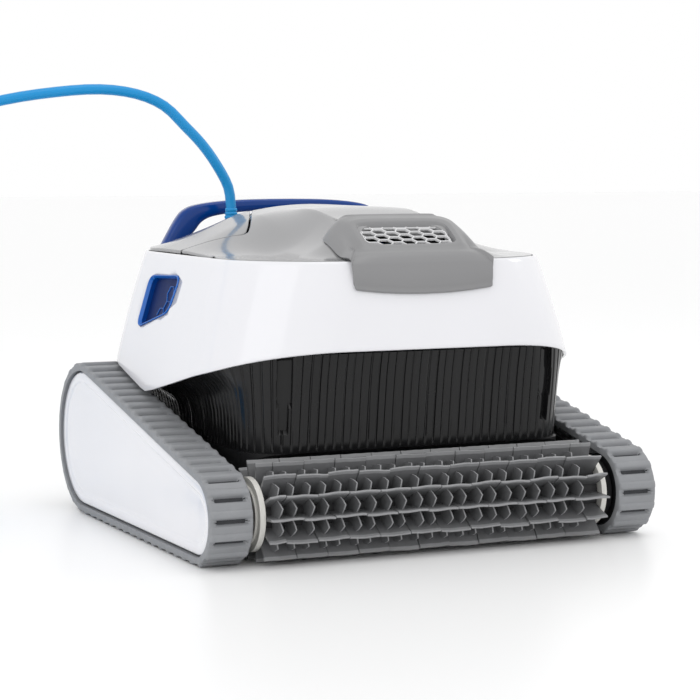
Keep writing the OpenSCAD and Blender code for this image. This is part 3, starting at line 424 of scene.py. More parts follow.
def shell_ring(k, inset, dz=0.0):
    base = shell_plan(0.35, inset)
    ring = []
    plans = {}
    for j, (bx, by) in enumerate(base):
        z = mix(low_edge(by), SHELL_TOP_Z, k) + dz
        t = round((z - SHELL_REF_Z) / (SHELL_TOP_Z - SHELL_REF_Z), 3)
        if t not in plans:
            plans[t] = shell_plan(t, inset)
        ring.append((*plans[t][j], z))
    return ring


def make_shell():
    rings = [shell_ring(0, 1.4, -0.0), shell_ring(0, 0.4, 0.35), shell_ring(0, 0, 1.3)]
    rings += [shell_ring(k / 20, 0) for k in range(1, 20)]
    rings += [shell_ring(1, 0, -1.6), shell_ring(1, 0.45, -0.5), shell_ring(1, 1.5, 0)]
    rings += [shell_ring(1, SKIN_T, -0.4)]
    rings += [shell_ring(k / 6, SKIN_T) for k in range(5, 0, -1)] + [shell_ring(0, SKIN_T, 0.4)]
    verts, faces = loft(rings)
    ob = mesh_object("shell_white", verts, faces, "white_gloss", replaces=["outer_shell"], sharp=50)
    for s in (-1, 1):
        cutter = vent_prism_object("vent_cutter", s, -18, 18, 0.4)
        mod = ob.modifiers.new("vent_hole", "BOOLEAN")
        mod.operation = "DIFFERENCE"
        mod.solver = "EXACT"
        mod.object = cutter
        apply_modifiers(ob)
        bpy.data.objects.remove(cutter)
    return ob


# ---------------------------------------------------------------- side vents
VENT_CORNERS = [(170, 235), (176, 201), (249, 182), (250, 232)]
VENT_C = (212.0, 212.0)
VENT_T = (VENT_C[1] - SHELL_REF_Z) / (SHELL_TOP_Z - SHELL_REF_Z)
VENT_X = mix(SHELL_BOT[0], SHELL_TOP[0], bulge(VENT_T))
VENT_TILT = math.atan((SHELL_BOT[0] - SHELL_TOP[0]) * (0.73 + 0.54 * VENT_T) / (SHELL_TOP_Z - SHELL_REF_Z))


def vent_outline(grow):
    pts = []
    for y, z in VENT_CORNERS:
        d = Vector((y - VENT_C[0], z - VENT_C[1]))
        k = 1 + grow / d.length * 1.4
        pts.append((d.x * k, d.y * k / math.cos(VENT_TILT)))
    return rounded(pts, 12 + grow, 6)


def vent_point(side, depth, a, b):
    """depth out of the shell's side, a to the rear and b up its slope, round the vent's centre."""
    x = VENT_X + depth * math.cos(VENT_TILT) - b * math.sin(VENT_TILT)
    z = VENT_C[1] + depth * math.sin(VENT_TILT) + b * math.cos(VENT_TILT)
    return (side * x, VENT_C[0] + a, z)


def vent_prism_object(name, side, d0, d1, grow):
    line = vent_outline(grow)
    rings = [[vent_point(side, d, a, b) for a, b in line] for d in (d0, d1)]
    verts, faces = capped(rings)
    return mesh_object(name, verts, faces, "navy_blue")


def bar(p, q, width, height, point):
    """A thin bar between two flat places, with a bevelled top."""
    a, b = Vector(p), Vector(q)
    along = (b - a).normalized()
    across = Vector((-along.y, along.x)) * width / 2
    prof = [(-1, 0), (-1, height * 0.6), (-0.5, height), (0.5, height), (1, height * 0.6), (1, 0)]
    rings = [[point(h, *(e + across * w)) for w, h in prof] for e in (a, b)]
    return capped(rings)


def make_vent(side, label):
    """A rounded frame, a chamfer in a lighter blue as painted highlight, a back in a near-black blue as painted shade,
    and a few honeycomb lines in the lighter blue as painted highlight.
    """
    steps = [(-9, 0), (0.2, 0), (1.0, -0.8), (1.0, -1.6), (-1.6, -4.0), (-5.6, -4.6)]
    rings = [[vent_point(side, d, a, b) for a, b in vent_outline(g)] for d, g in steps]
    verts, faces = loft(rings, closed=False)
    n = len(rings[0])
    mats = []
    for i in range(len(steps) - 1):
        # the lip bands take the lighter blue as painted highlight; the back cap takes the near-black blue as painted
        # shade
        mats += [1 if i in (1, 2, 3) else 0] * n
    faces += [tuple(range(n)), tuple(range(len(verts) - n, len(verts)))]
    mats += [0, 2]
    ob = mesh_object(
        f"vent_{label}", verts, faces, "navy_blue", replaces=[f"side_vent_{label}"],
        mats=["navy_blue", "blue_painted_highlight", "vent_back_painted_shade"], face_mats=mats, sharp=30,
    )
    # honeycomb on the front half of the back, in the lighter blue as painted highlight
    shapes = []
    cell = 8.2
    spots = [(-14, 6), (-14, -8.2), (-26.3, -1.1), (-1.7, -15.3)]
    for cx, cy in spots:
        for k in range(6):
            t0, t1 = math.radians(60 * k), math.radians(60 * (k + 1))
            p = (cx + cell * math.cos(t0), cy + cell * math.sin(t0))
            q = (cx + cell * math.cos(t1), cy + cell * math.sin(t1))
            if -35 < min(p[0], q[0]) and max(p[1], q[1]) < 15 and min(p[1], q[1]) > -21:
                shapes.append(bar(p, q, 0.9, 0.9, lambda h, a, b: vent_point(side, -5.6 + h, a, b)))
    v, f = join_shapes(*shapes)
    lines = mesh_object(f"vent_honeycomb_{label}", v, f, "navy_blue", mats=["blue_painted_highlight"])
    return ob, lines


# ---------------------------------------------------------------- ribbed body
BODY_Z = [WAIST_Z - 0.1, 105, 130, 150, 160, 168, 174]
BODY_FLARE = [0, 0, 1, 4, 9, 15, 21]
BODY_TOP_Z = 174.0
RIB_PITCH = 8.0
RIB_GROOVE = 2.2
RIB_DEPTH = 1.3
SLOT_X, SLOT_W, SLOT_Z = 128.0, 13.0, (111.0, 172.0)


def body_flare(z):
    for a, b, fa, fb in zip(BODY_Z, BODY_Z[1:], BODY_FLARE, BODY_FLARE[1:]):
        if z <= b:
            return mix(fa, fb, (z - a) / (b - a))
    return BODY_FLARE[-1]


def body_plan(z, inset):
    k = (z - WAIST_Z) / (BODY_TOP_Z - WAIST_Z)
    fl = body_flare(z)
    return full_plan(half_plan(
        TUB_HALF_W + fl - inset, TUB_FRONT - 10 * k - fl * 0.15 + inset, TUB_REAR - 4 + fl * 0.2 - inset,
        38 + fl * 2 - inset, 32 + fl - inset, V_CORNER_Y))


def rib_profile(s):
    """Depth of the groove at arc length s along the body's outline."""
    u = (s + RIB_GROOVE / 2) % RIB_PITCH
    if u > RIB_GROOVE:
        return 0.0
    return -RIB_DEPTH * math.sin(math.pi * u / RIB_GROOVE) ** 0.6


def ray_out(origin, direction, outline):
    """How far along a ray an outline lies, from a point inside it."""
    best = 1e9
    for a, b in zip(outline, outline[1:] + outline[:1]):
        ex, ey = b[0] - a[0], b[1] - a[1]
        cross = direction[0] * ey - direction[1] * ex
        if abs(cross) < 1e-9:
            continue
        ax, ay = a[0] - origin[0], a[1] - origin[1]
        along, on_edge = (ax * ey - ay * ex) / cross, (ax * direction[1] - ay * direction[0]) / cross
        if along > 0 and -1e-6 <= on_edge <= 1 + 1e-6:
            best = min(best, along)
    return best


def body_height(y, z):
    """The body's top follows the shell's lower edge, so its levels squeeze under it."""
    share = (z - WAIST_Z) / (BODY_TOP_Z - WAIST_Z)
    return WAIST_Z + (min(BODY_TOP_Z, low_edge(y) + 3) - WAIST_Z) * share


def make_ribbed_body():
    """Vertical ribs that fan out round the corners, with a recess near each front corner."""
    heights = [WAIST_Z, 89.2, 92, 98, 105, 112, 113, 128, 136, 142, 148, 153, 157, 161, 165, 169, 172, 174]
    reach_in = 24.0
    base = body_plan(WAIST_Z, 0)
    columns, arc = [], 0.0
    for a, b in zip(base, base[1:] + base[:1]):
        length = math.dist(a, b)
        if length < 1e-6:
            continue
        out = ((b[1] - a[1]) / length, -(b[0] - a[0]) / length)
        n = max(1, math.ceil(length / 0.8))
        for k in range(n):
            x, y = mix(a[0], b[0], k / n), mix(a[1], b[1], k / n)
            columns.append((x - out[0] * reach_in, y - out[1] * reach_in, out, arc + length * k / n))
        arc += length
    stretch = round(arc / RIB_PITCH) * RIB_PITCH / arc
    rings = []
    for z in heights:
        plan = body_plan(z, 0)
        fade = smooth((z - WAIST_Z - 1) / 6)
        ring = []
        for x, y, out, s in columns:
            far = ray_out((x, y), out, plan)
            px, py = x + out[0] * far, y + out[1] * far
            half_w = SLOT_W / 2 * (1 if z > 128 else 0.62)
            in_slot = py < 40 and SLOT_Z[0] < z < SLOT_Z[1] and abs(abs(px) - SLOT_X) < half_w
            far += -7.0 if in_slot else rib_profile(s * stretch) * fade
            px, py = x + out[0] * far, y + out[1] * far
            ring.append((px, py, body_height(py, z)))
        rings.append(ring)
    inner = []
    for z in (174, 150, 120, WAIST_Z):
        plan = body_plan(z, SKIN_T + 1.5)
        ring = []
        for x, y, out, _ in columns:
            far = ray_out((x, y), out, plan)
            px, py = x + out[0] * far, y + out[1] * far
            ring.append((px, py, body_height(py, z)))
        inner.append(ring)
    verts, faces = loft(rings + inner)
    return mesh_object("ribbed_skirt", verts, faces, "ribbed_black", replaces=["ribbed_body"], sharp=28)


# ---------------------------------------------------------------- grey top: dome, scoops, lid and deck
def dome_drop(x):
    x = abs(x)
    return x * x / 640 if x < 75 else 8.8 + 0.42 * (x - 75)


def dome_z(x, y):
    r = clamp01((y - 245) / 86)
    return SHELL_TOP_Z + (CREST_Z - dome_drop(x) - SHELL_TOP_Z) * (1 - r ** 1.5)


def scoop_z(x, y):
    u = clamp01((abs(x) - 48) / 64)
    spine = mix(CREST_Z - 12, CREST_Z, smooth((y - 50) / 110))
    return SHELL_TOP_Z + 0.5 + (spine - SHELL_TOP_Z - 0.5) * (1 - u) ** 2 * smooth((y - 12) / 46)


def top_z(x, y):
    return mix(scoop_z(x, y), dome_z(x, y), smooth((y - 95) / 105))


RIM_GAP = SKIN_T + 1.2
SEAM_Y = 200.0
TONGUE_Y = HINGE_Y - 6.5
DECK_FRONT_Y = HINGE_Y + 8.5
HOLE_C, HOLE_R = (0.0, 40.0), (41.0, 15.0)


def lid_outline():
    hw, f, rf = SHELL_TOP[0] - RIM_GAP, SHELL_TOP[1] + RIM_GAP, SHELL_TOP[3] - RIM_GAP
    pts = [((hw - rf) * i / 8, f) for i in range(8)]
    pts += [(hw - rf + rf * math.cos(t), f + rf + rf * math.sin(t))
            for t in (math.radians(-90 + 90 * i / 30) for i in range(31))]
    seam = rounded([(hw, 120), (hw, SEAM_Y - 1), (130, 185), (112, 173), (103, 166), (97, 167), (90, 179), (81, 199),
                    (72, 220), (63, 241), (53, TONGUE_Y), (0, TONGUE_Y)], 3.2, 4)
    seam = [p for p in seam if p[1] > 121 and p[0] > 2]
    half = pts + seam
    half += [(0, TONGUE_Y)]
    return half


def spaced(line, step):
    """Points along an open outline, at most step apart."""
    out = []
    for a, b in zip(line, line[1:]):
        n = max(1, math.ceil(math.dist(a, b) / step))
        out += [(mix(a[0], b[0], k / n), mix(a[1], b[1], k / n)) for k in range(n)]
    return out + [line[-1]]


EDGE_STEPS = [(0.0, 2.2), (0.0, 0.75), (0.22, 0.28), (0.75, 0.0), (1.6, 0.0), (4.0, 0.0)]


def make_lid():
    half = spaced(lid_outline(), 3.0)
    out = half + [(-x, y) for x, y in reversed(half[1:-1])]
    rings = []

    def ring_at(dist, drop):
        ring = []
        for x, y in out:
            a = math.atan2(y - HOLE_C[1], x)
            h = (HOLE_R[0] * math.cos(a), HOLE_C[1] + HOLE_R[1] * math.sin(a))
            k = 1 - dist / max(5.0, math.dist(h, (x, y)))
            q = (mix(h[0], x, k), mix(h[1], y, k))
            ring.append((*q, top_z(*q) - drop))
        return ring

    def ring_share(share, drop):
        ring = []
        for x, y in out:
            a = math.atan2(y - HOLE_C[1], x)
            h = (HOLE_R[0] * math.cos(a), HOLE_C[1] + HOLE_R[1] * math.sin(a))
            length = max(5.0, math.dist(h, (x, y)))
            k = share * (1 - 4.0 / length)
            q = (mix(h[0], x, k), mix(h[1], y, k))
            ring.append((*q, top_z(*q) - drop))
        return ring

    rings = [ring_at(d, drop) for d, drop in EDGE_STEPS]
    rings += [ring_share(1 - i / 44, 0) for i in range(1, 45)]
    rings += [ring_share(i / 12, SKIN_T) for i in range(0, 12)]
    rings += [ring_at(0.6, SKIN_T)]
    verts, faces = loft(rings)
    knuckles = join_shapes(*[knuckle(x, x + 22, -1) for x in (-36, 14)])
    verts, faces = join_shapes((verts, faces), knuckles)
    return mesh_object("lid_grey", verts, faces, "lid_grey", "lid", ["lid"], sharp=32)


def tube_x(x0, x1, cy, cz, r, n=32, bore=0.0):
    """A cylinder along x, or a tube when it has a bore."""
    ang = [2 * math.pi * i / n for i in range(n)]
    c = 0.4
    prof = [(x0, r - c), (x0 + c, r), (x1 - c, r), (x1, r - c)]
    if bore:
        prof += [(x1, bore), (x0, bore)]
        return loft([[(x, cy + q * math.cos(a), cz + q * math.sin(a)) for a in ang] for x, q in prof])
    rings = [[(x, cy + q * math.cos(a), cz + q * math.sin(a)) for a in ang] for x, q in prof]
    return capped(rings)


def knuckle(x0, x1, direction):
    """Hinge barrel with its arm to the skin in front of it or behind it."""
    barrel = tube_x(x0, x1, HINGE_Y, HINGE_Z, 6.0, bore=2.55)
    y0, y1 = (HINGE_Y + 4, HINGE_Y + 14) if direction > 0 else (HINGE_Y - 14, HINGE_Y - 4)
    top = 4.6 if direction > 0 else 5.6
    arm = box(x0 + 0.2, x1 - 0.2, y0, y1, HINGE_Z - 1.8, HINGE_Z + (3.9 if direction > 0 else 3.9))
    rise = (y1 - 5, y1) if direction > 0 else (y0, y0 + 5)
    block = box(x0 + 0.2, x1 - 0.2, rise[0], rise[1], HINGE_Z + 1, HINGE_Z + (top if direction < 0 else 1.5))
    return join_shapes(barrel, arm, block)


def box(x0, x1, y0, y1, z0, z1):
    verts = [(x, y, z) for z in (z0, z1) for x, y in ((x0, y0), (x1, y0), (x1, y1), (x0, y1))]
    faces = [(3, 2, 1, 0), (4, 5, 6, 7)] + [(i, (i + 1) % 4, 4 + (i + 1) % 4, 4 + i) for i in range(4)]
    return verts, faces


def make_deck():
    hw, b, rr = SHELL_TOP[0] - RIM_GAP, SHELL_TOP[2] - RIM_GAP, SHELL_TOP[4] - RIM_GAP
    outer = [(hw, SEAM_Y + 1.2), (hw, b - rr)]
    outer += [(hw - rr + rr * math.cos(t), b - rr + rr * math.sin(t))
              for t in (math.radians(90 * i / 26) for i in range(27))]
    outer += [(0, b)]
    inner = [(hw, SEAM_Y + 0.4)] + rounded(
        [(hw - 0.5, SEAM_Y + 0.3), (130, 186.5), (112, 174.6), (103.3, 168.2), (98.5, 168.8), (91.5, 180.5),
         (82.5, 200), (73.5, 221), (64.5, 242), (56, 264), (56, DECK_FRONT_Y), (0, DECK_FRONT_Y)], 3.0, 4)
    inner = [p for p in inner if 0.5 < p[0]] + [(0, DECK_FRONT_Y)]
    inner = sorted_path(inner)
    a = even(inner, 110)
    c = even(outer, 110)
    a = a + [(-x, y) for x, y in reversed(a[:-1])]
    c = c + [(-x, y) for x, y in reversed(c[:-1])]

    def row(dist_in, dist_out, share, drop):
        line = []
        for p, q in zip(a, c):
            length = max(0.01, math.dist(p, q))
            lo, hi = min(dist_in / length, 0.45), 1 - min(dist_out / length, 0.45)
            k = mix(lo, hi, share)
            x, y = mix(p[0], q[0], k), mix(p[1], q[1], k)
            line.append((x, y, top_z(x, y) - drop))
        return line

    rings = [row(d, 0, 0, drop) for d, drop in EDGE_STEPS]
    rings += [row(4, 4, i / 24, 0) for i in range(1, 24)]
    rings += [row(0, d, 1, drop) for d, drop in reversed(EDGE_STEPS)]
    rings += [row(0.4, 0.4, 1 - i / 6, SKIN_T) for i in range(7)]
    verts, faces = loft(rings, closed=True, ring_closed=False)
    n = len(rings[0])
    faces.append(tuple(i * n for i in range(len(rings))))
    faces.append(tuple(i * n + n - 1 for i in reversed(range(len(rings)))))
    knuckles = join_shapes(*[knuckle(x0, x1, 1) for x0, x1 in ((-50, -37), (-13, 13), (37, 50))])
    verts, faces = join_shapes((verts, faces), knuckles)
    return mesh_object("deck_grey", verts, faces, "lid_grey", "root", ["top_deck"], sharp=32)


def sorted_path(line):
    """Drops points that repeat."""
    out = [line[0]]
    for p in line[1:]:
        if math.dist(p, out[-1]) > 0.05:
            out.append(p)
    return out


def even(line, n):
    """n points spread evenly along an open line, ends kept."""
    lengths = [0.0]
    for p, q in zip(line, line[1:]):
        lengths.append(lengths[-1] + math.dist(p, q))
    out = []
    i = 0
    for k in range(n):
        s = lengths[-1] * k / (n - 1)
        while i < len(line) - 2 and lengths[i + 1] < s:
            i += 1
        t = clamp01((s - lengths[i]) / max(1e-9, lengths[i + 1] - lengths[i]))
        out.append(tuple(mix(u, v, t) for u, v in zip(line[i], line[i + 1])))
    return out


# ---------------------------------------------------------------- nozzle cover and grille
FRAME_BOTTOM, FRAME_TOP = (18.9, 264.7), (50.3, 284.0)
FRAME_PITCH = math.atan((FRAME_TOP[1] - FRAME_BOTTOM[1]) / (FRAME_TOP[0] - FRAME_BOTTOM[0]))
NZ_N = 160
LIP_Z, LIP_GAP, LIP_T = 224.0, 0.8, 2.4


def se(hx, y0, y1, e):
    pts = []
    for i in range(NZ_N):
        a = 2 * math.pi * i / NZ_N
        c, s = math.cos(a), math.sin(a)
        x = hx * math.copysign(abs(c) ** e, c)
        pts.append((x, (y0 + y1) / 2 + (y1 - y0) / 2 * math.copysign(abs(s) ** e, s)))
    return pts


def frame_plane(y):
    return FRAME_BOTTOM[1] + (y - FRAME_BOTTOM[0]) * math.tan(FRAME_PITCH)


def shell_front(z):
    return mix(SHELL_BOT[1], SHELL_TOP[1], bulge((z - SHELL_REF_Z) / (SHELL_TOP_Z - SHELL_REF_Z)))


def make_nozzle():
    front, lip_n = NZ_N * 3 // 4, round(NZ_N * 0.18)
    corner_n = round(NZ_N * 0.035)
    low = lambda x: LIP_Z + 5 * (x / 70) ** 2

    def lip_ring(q, y_of, z_of, up, corner_z):
        ring = []
        for i, (x, y) in enumerate(q):
            sag = 0.00012 * x * x
            d = abs(i - front)
            z_top = max(SHELL_TOP_Z + 1 + up, top_z(x, y) + up)
            if d <= lip_n:
                z = z_of(x)
                ring.append((x, y_of(z) + sag, z))
            elif d <= lip_n + corner_n:
                t = (d - lip_n) / (corner_n + 1)
                za = z_of(x)
                z = mix(za, corner_z, smooth(t * 1.6))
                ring.append((x, mix(max(y_of(z), y_of(SHELL_TOP_Z)), y, smooth(t * 1.6 - 0.6)) + sag, z))
            else:
                ring.append((x, y, z_top))
        return ring

    flat = lambda q, f: [(x, y, f(x, y)) for x, y in q]
    outer_y = lambda d: (lambda z: shell_front(min(z, 250.0)) - LIP_GAP - LIP_T + d)
    inner_y = lambda z: shell_front(min(z, SHELL_TOP_Z)) - LIP_GAP
    mid = lambda x, y: mix(261, frame_plane(y) - 3, clamp01((y - 14) / 20))
    face = lambda x, y: frame_plane(y) + 1
    step = lambda x, y: frame_plane(y) - 1.5
    deep = lambda x, y: max(frame_plane(y) - 11, 256)
    rings = [
        lip_ring(se(67.4, 0.2, 69.5, 0.40), lambda z: shell_front(z) - LIP_GAP - LIP_T * 0.6, low, 0.1, 254.0),
        lip_ring(se(68.6, -2.4, 71.4, 0.40), outer_y(0.5), lambda x: low(x) + 0.4, 0.3, 254.4),
        lip_ring(se(69.2, -3, 72, 0.40), outer_y(-0.4), lambda x: low(x) + 1.6, 0.6, 254.8),
        lip_ring(se(69.4, -3, 72, 0.40), outer_y(-0.4), lambda x: low(x) + 5.4, 0.9, 255.2),
        lip_ring(se(69.6, -3, 72, 0.40), outer_y(-1.1), lambda x: low(x) + 6.6, 1.1, 255.4),
        lip_ring(se(70.6, 0, 73, 0.40), outer_y(-1.1), lambda x: mix(low(x), 251, 0.65), 1.4, 255.8),
        lip_ring(se(71.0, 2.2, 74, 0.40), outer_y(-0.6), lambda x: 250.0, 1.8, 256.2),
    ]
    a, b = rings[-1], flat(se(58, 11, 66, 0.42), mid)
    c = flat(se(50, 16.5, 55.5, 0.36), face)
    for t in (0.12, 0.25, 0.4, 0.55, 0.7, 0.85):
        rings.append([tuple(mix(u, v, t) + (2.2 * math.sin(math.pi * t) if k == 2 else 0)
                            for k, (u, v) in enumerate(zip(p, q))) for p, q in zip(a, b)])
    rings.append(b)
    for t in (0.3, 0.6, 0.85, 0.96):
        rings.append([tuple(mix(u, v, t) for u, v in zip(p, q)) for p, q in zip(b, c)])
    rings += [
        flat(se(49.4, 17.0, 55.1, 0.36), lambda x, y: face(x, y) + 0.25),
        flat(se(46.0, 19.6, 51.8, 0.34), lambda x, y: face(x, y) + 0.25),
        flat(se(44.9, 20.3, 50.8, 0.34), face),
        flat(se(43.9, 21.2, 50.0, 0.34), step), flat(se(43.5, 22, 49.5, 0.34), deep),
        flat(se(60, 6, 60, 0.42), lambda x, y: 255.6 + clamp01((y - 30) / 30) * 16),
        lip_ring(se(67.6, 0.4, 69, 0.40), inner_y, lambda x: SHELL_TOP_Z + 0.8, 0.1, 253.9),
        lip_ring(se(67.0, 0.4, 69, 0.40), inner_y, low, 0.0, 253.7),
    ]
    verts, faces = loft(rings)
    return mesh_object("nozzle_grey", verts, faces, "nozzle_grey", "lid", ["nozzle_cover"], sharp=38)


HEX_PITCH, HEX_ROW = 11.7, 8.2


def make_grille():
    """Honeycomb net of rounded bars in the tilted frame, with its border."""
    length = (FRAME_TOP[0] - FRAME_BOTTOM[0]) / math.cos(FRAME_PITCH)
    cp, sp = math.cos(FRAME_PITCH), math.sin(FRAME_PITCH)

    def point(h, a, b):
        v, w = b + length / 2, h - 3.9
        return (a, FRAME_BOTTOM[0] + v * cp - w * sp, FRAME_BOTTOM[1] + v * sp + w * cp)

    half_x, half_y = 42.0, 15.0
    shapes = []
    seen = set()
    stretch = HEX_PITCH / (1.5 * HEX_ROW / math.sqrt(3))
    r = HEX_ROW / math.sqrt(3)
    for i in range(-5, 6):
        for j in range(-4, 5):
            cx, cy = i * HEX_PITCH, (j + (abs(i) % 2) / 2) * HEX_ROW
            corners = [(cx + r * stretch * math.cos(math.radians(60 * k)), cy + r * math.sin(math.radians(60 * k)))
                       for k in range(6)]
            for k in range(6):
                p, q = corners[k], corners[(k + 1) % 6]
                key = tuple(sorted(((round(p[0], 1), round(p[1], 1)), (round(q[0], 1), round(q[1], 1)))))
                inside = [abs(e[0]) < half_x and abs(e[1]) < half_y for e in (p, q)]
                if key in seen or not any(inside):
                    continue
                seen.add(key)
                p2 = clip(p, q, half_x, half_y)
                q2 = clip(q, p, half_x, half_y)
                shapes.append(bar(p2, q2, 1.5, 2.0, point))
    border = rounded([(-half_x, -half_y), (half_x, -half_y), (half_x, half_y), (-half_x, half_y)], 6, 6)
    prof = [(-0.2, 0.0), (-0.2, 1.6), (-0.9, 2.0), (-1.3, 1.6), (-1.3, 0.0)]
    rings = []
    for g, h in prof:
        rings.append([point(h, x * (1 + g / half_x), y * (1 + g / half_y)) for x, y in border])
    shapes.append(loft(rings))
    verts, faces = join_shapes(*shapes)
    return mesh_object("grille_net", verts, faces, "grille_silver", "lid", ["outlet_grille"])


def clip(p, q, hx, hy):
    """p, or where the line to q enters the frame's opening."""
    t = 0.0
    for a, b, h in ((p[0], q[0], hx), (p[1], q[1], hy)):
        if abs(a) > h:
            t = max(t, (math.copysign(h, a) - a) / (b - a))
    return (mix(p[0], q[0], t), mix(p[1], q[1], t))


# ---------------------------------------------------------------- handle
HANDLE_Y0, HANDLE_D, HANDLE_BAR = 316.0, 16.0, 12.0


def handle_curve(top, w, low_z):
    pts = [(-w, low_z), (-w + 16, top - 21), (-w + 26, top - 10), (-w + 42, top - 4.5), (-w + 76, top - 1), (0, top)]
    return pts + [(-x, z) for x, z in reversed(pts[:-1])]


def smooth_line(pts, sub=6):
    """A Catmull-Rom curve through the points."""
    out = []
    for i in range(len(pts) - 1):
        a, b, c, d = (Vector(pts[min(max(k, 0), len(pts) - 1)]) for k in (i - 1, i, i + 1, i + 2))
        for s in range(sub):
            t = s / sub
            out.append(0.5 * ((2 * b) + (c - a) * t + (2 * a - 5 * b + 4 * c - d) * t ** 2 + (3 * b - a - 3 * c + d) * t ** 3))
    out.append(Vector(pts[-1]))
    return [tuple(p) for p in out]


def make_handle():
    """An arch with rounded edges and a hollowed underside."""
    top = smooth_line(handle_curve(HANDLE_TOP_Z, 127, 252))
    low = smooth_line(handle_curve(HANDLE_TOP_Z - HANDLE_BAR + 1, 127 - HANDLE_BAR * 1.5, 252))
    y0, y1 = HANDLE_Y0, HANDLE_Y0 + HANDLE_D
    rings = []
    for (xt, zt), (xl, zl) in zip(top, low):
        def at(k, y):
            return (mix(xt, xl, k), y, mix(zt, zl, k))
        ring = [at(0.0, y0 + 4), at(0.0, y1 - 4)]
        ring += [at(0.06, y1 - 1.6), at(0.2, y1), at(0.8, y1), at(0.94, y1 - 1.2), at(1.0, y1 - 3)]
        ring += [at(0.72, y1 - 4.4), at(0.72, y0 + 4.4), at(1.0, y0 + 3), at(0.94, y0 + 1.2), at(0.8, y0)]
        ring += [at(0.2, y0), at(0.06, y0 + 1.6)]
        rings.append(ring)
    verts, faces = capped(rings)
    return mesh_object("handle_blue", verts, faces, "navy_blue", "root", ["carry_handle"], sharp=50)


# ---------------------------------------------------------------- tracks
def track_path(o, s_share):
    """Point (y, z) and outward angle on the belt's loop, inset by o, at a share of its length."""
    rr, fr = REAR_R - RIDGE_H, FRONT_R - RIDGE_H
    lengths = [WHEEL_BASE, rr * (math.pi + SLOPE), WHEEL_BASE, fr * (math.pi - SLOPE)]
    s = s_share * sum(lengths)
    if s < lengths[0]:
        return (s, o, -math.pi / 2)
    s -= lengths[0]
    if s < lengths[1]:
        t = -math.pi / 2 + s / rr
        return (WHEEL_BASE + (REAR_R - o) * math.cos(t), REAR_R + (REAR_R - o) * math.sin(t), t)
    s -= lengths[1]
    if s < lengths[2]:
        k = s / WHEEL_BASE
        t = math.pi / 2 + SLOPE
        r = mix(REAR_R - o, FRONT_R - o, k)
        return (WHEEL_BASE * (1 - k) + r * math.cos(t), mix(REAR_R, FRONT_R, k) + r * math.sin(t), t)
    s -= lengths[2]
    t = math.pi / 2 + SLOPE + s / fr
    return ((FRONT_R - o) * math.cos(t), FRONT_R + (FRONT_R - o) * math.sin(t), t)


LOOP_LEN = 2 * WHEEL_BASE + (REAR_R - RIDGE_H) * (math.pi + SLOPE) + (FRONT_R - RIDGE_H) * (math.pi - SLOPE)
PITCH = LOOP_LEN / RIDGE_COUNT


def tread_height(u, x):
    """Height over the band at u along a pitch and x from the belt's middle: a rounded lug, then a pocket."""
    half = BELT_W / 2
    edge = half - abs(x)
    lug_c, lug_w = PITCH / 2, 7.6
    d = abs(u - lug_c)
    h = 0.0
    if d < lug_w / 2:
        h = RIDGE_H * (1 - (d / (lug_w / 2)) ** 4)
    h = max(h, 1.3 if u < lug_c else 0.3)
    pocket_c = lug_c + lug_w / 2 + 2.4
    du = abs(u - pocket_c) / 2.4
    dx = max(0.0, abs(x) - (half - 6.5)) / 2.0
    r = math.hypot(du, dx)
    if r < 1:
        h = min(h, -2.4 * math.sqrt(1 - r * r) ** 0.5)
    if edge < 2.6:
        h *= math.sqrt(max(0.0, 1 - ((2.6 - edge) / 2.6) ** 2)) if h > 0 else 1
    return h


def make_belt(side, label):
    n_s = RIDGE_COUNT * 22
    half = BELT_W / 2
    xs = [-half, -half + 0.5, -half + 1.2, -half + 2.0, -half + 2.8] + \
         [-half + 2.8 + (BELT_W - 5.6) * k / 18 for k in range(1, 18)] + \
         [half - 2.8, half - 2.0, half - 1.2, half - 0.5, half]
    mid = side * (HALF_W - half)
    inner_prof = [(half, BAND_T), (4.0, BAND_T), (3.2, BAND_T + 4), (-3.2, BAND_T + 4), (-4.0, BAND_T), (-half, BAND_T)]
    rings, dark = [], []
    for i in range(n_s):
        share = i / n_s
        u = (share * LOOP_LEN) % PITCH
        ring = []
        for x in xs:
            h = tread_height(u, x)
            y, z, _ = track_path(RIDGE_H - h, share)
            ring.append((mid + x, y, z))
        for k, (x, depth) in enumerate(inner_prof):
            y, z, _ = track_path(RIDGE_H + depth, share)
            ring.append((mid + x, y, z))
        rings.append(ring)
        dark.append([tread_height(u, x) < -0.35 for x in xs])
    verts, faces = loft(rings)
    n = len(rings[0])
    # faces sunk into a pocket take the darker rubber, as painted shade in the recesses
    mats = []
    for i in range(n_s):
        for j in range(n):
            mats.append(1 if j < len(xs) - 1 and dark[i][j] and dark[(i + 1) % n_s][j + 1] else 0)
    # teeth on the inner edge, towards the body, in the darker rubber as painted shade
    teeth = []
    for i in range(RIDGE_COUNT * 2):
        y, z, t = track_path(RIDGE_H + BAND_T - 0.6, (i + 0.25) / (RIDGE_COUNT * 2))
        teeth.append(tooth(side * (BELT_IN_X + 4.5), y, z, t, side))
    tv, tf = join_shapes(*teeth)
    base = len(verts)
    verts, faces = verts + tv, faces + [tuple(k + base for k in f) for f in tf]
    mats += [1] * len(tf)
    return mesh_object(
        f"belt_{label}", verts, faces, "track_rubber", "root", [f"track_belt_{label}"],
        mats=["track_rubber", "pocket_painted_shade"], face_mats=mats, sharp=42)


def tooth(x, y, z, t, side):
    """A small drive tooth on the belt's inside, which points at the wheel."""
    out, along = (math.cos(t), math.sin(t)), (-math.sin(t), math.cos(t))
    rings = []
    for dx in (-3.5, 3.5):
        ring = []
        for a, h in ((-2.2, 0.0), (2.2, 0.0), (1.3, -1.9), (-1.3, -1.9)):
            ring.append((x + dx, y + along[0] * a + out[0] * h, z + along[1] * a + out[1] * h))
        rings.append(ring)
    return capped(rings)


# ---------------------------------------------------------------- side covers
def track_outline(o, n=180):
    return [track_path(o, i / n)[:2] for i in range(n)]


COVER_INSET = RIDGE_H + BAND_T + 1.6
COVER_OUT_X = HALF_W - 2.0


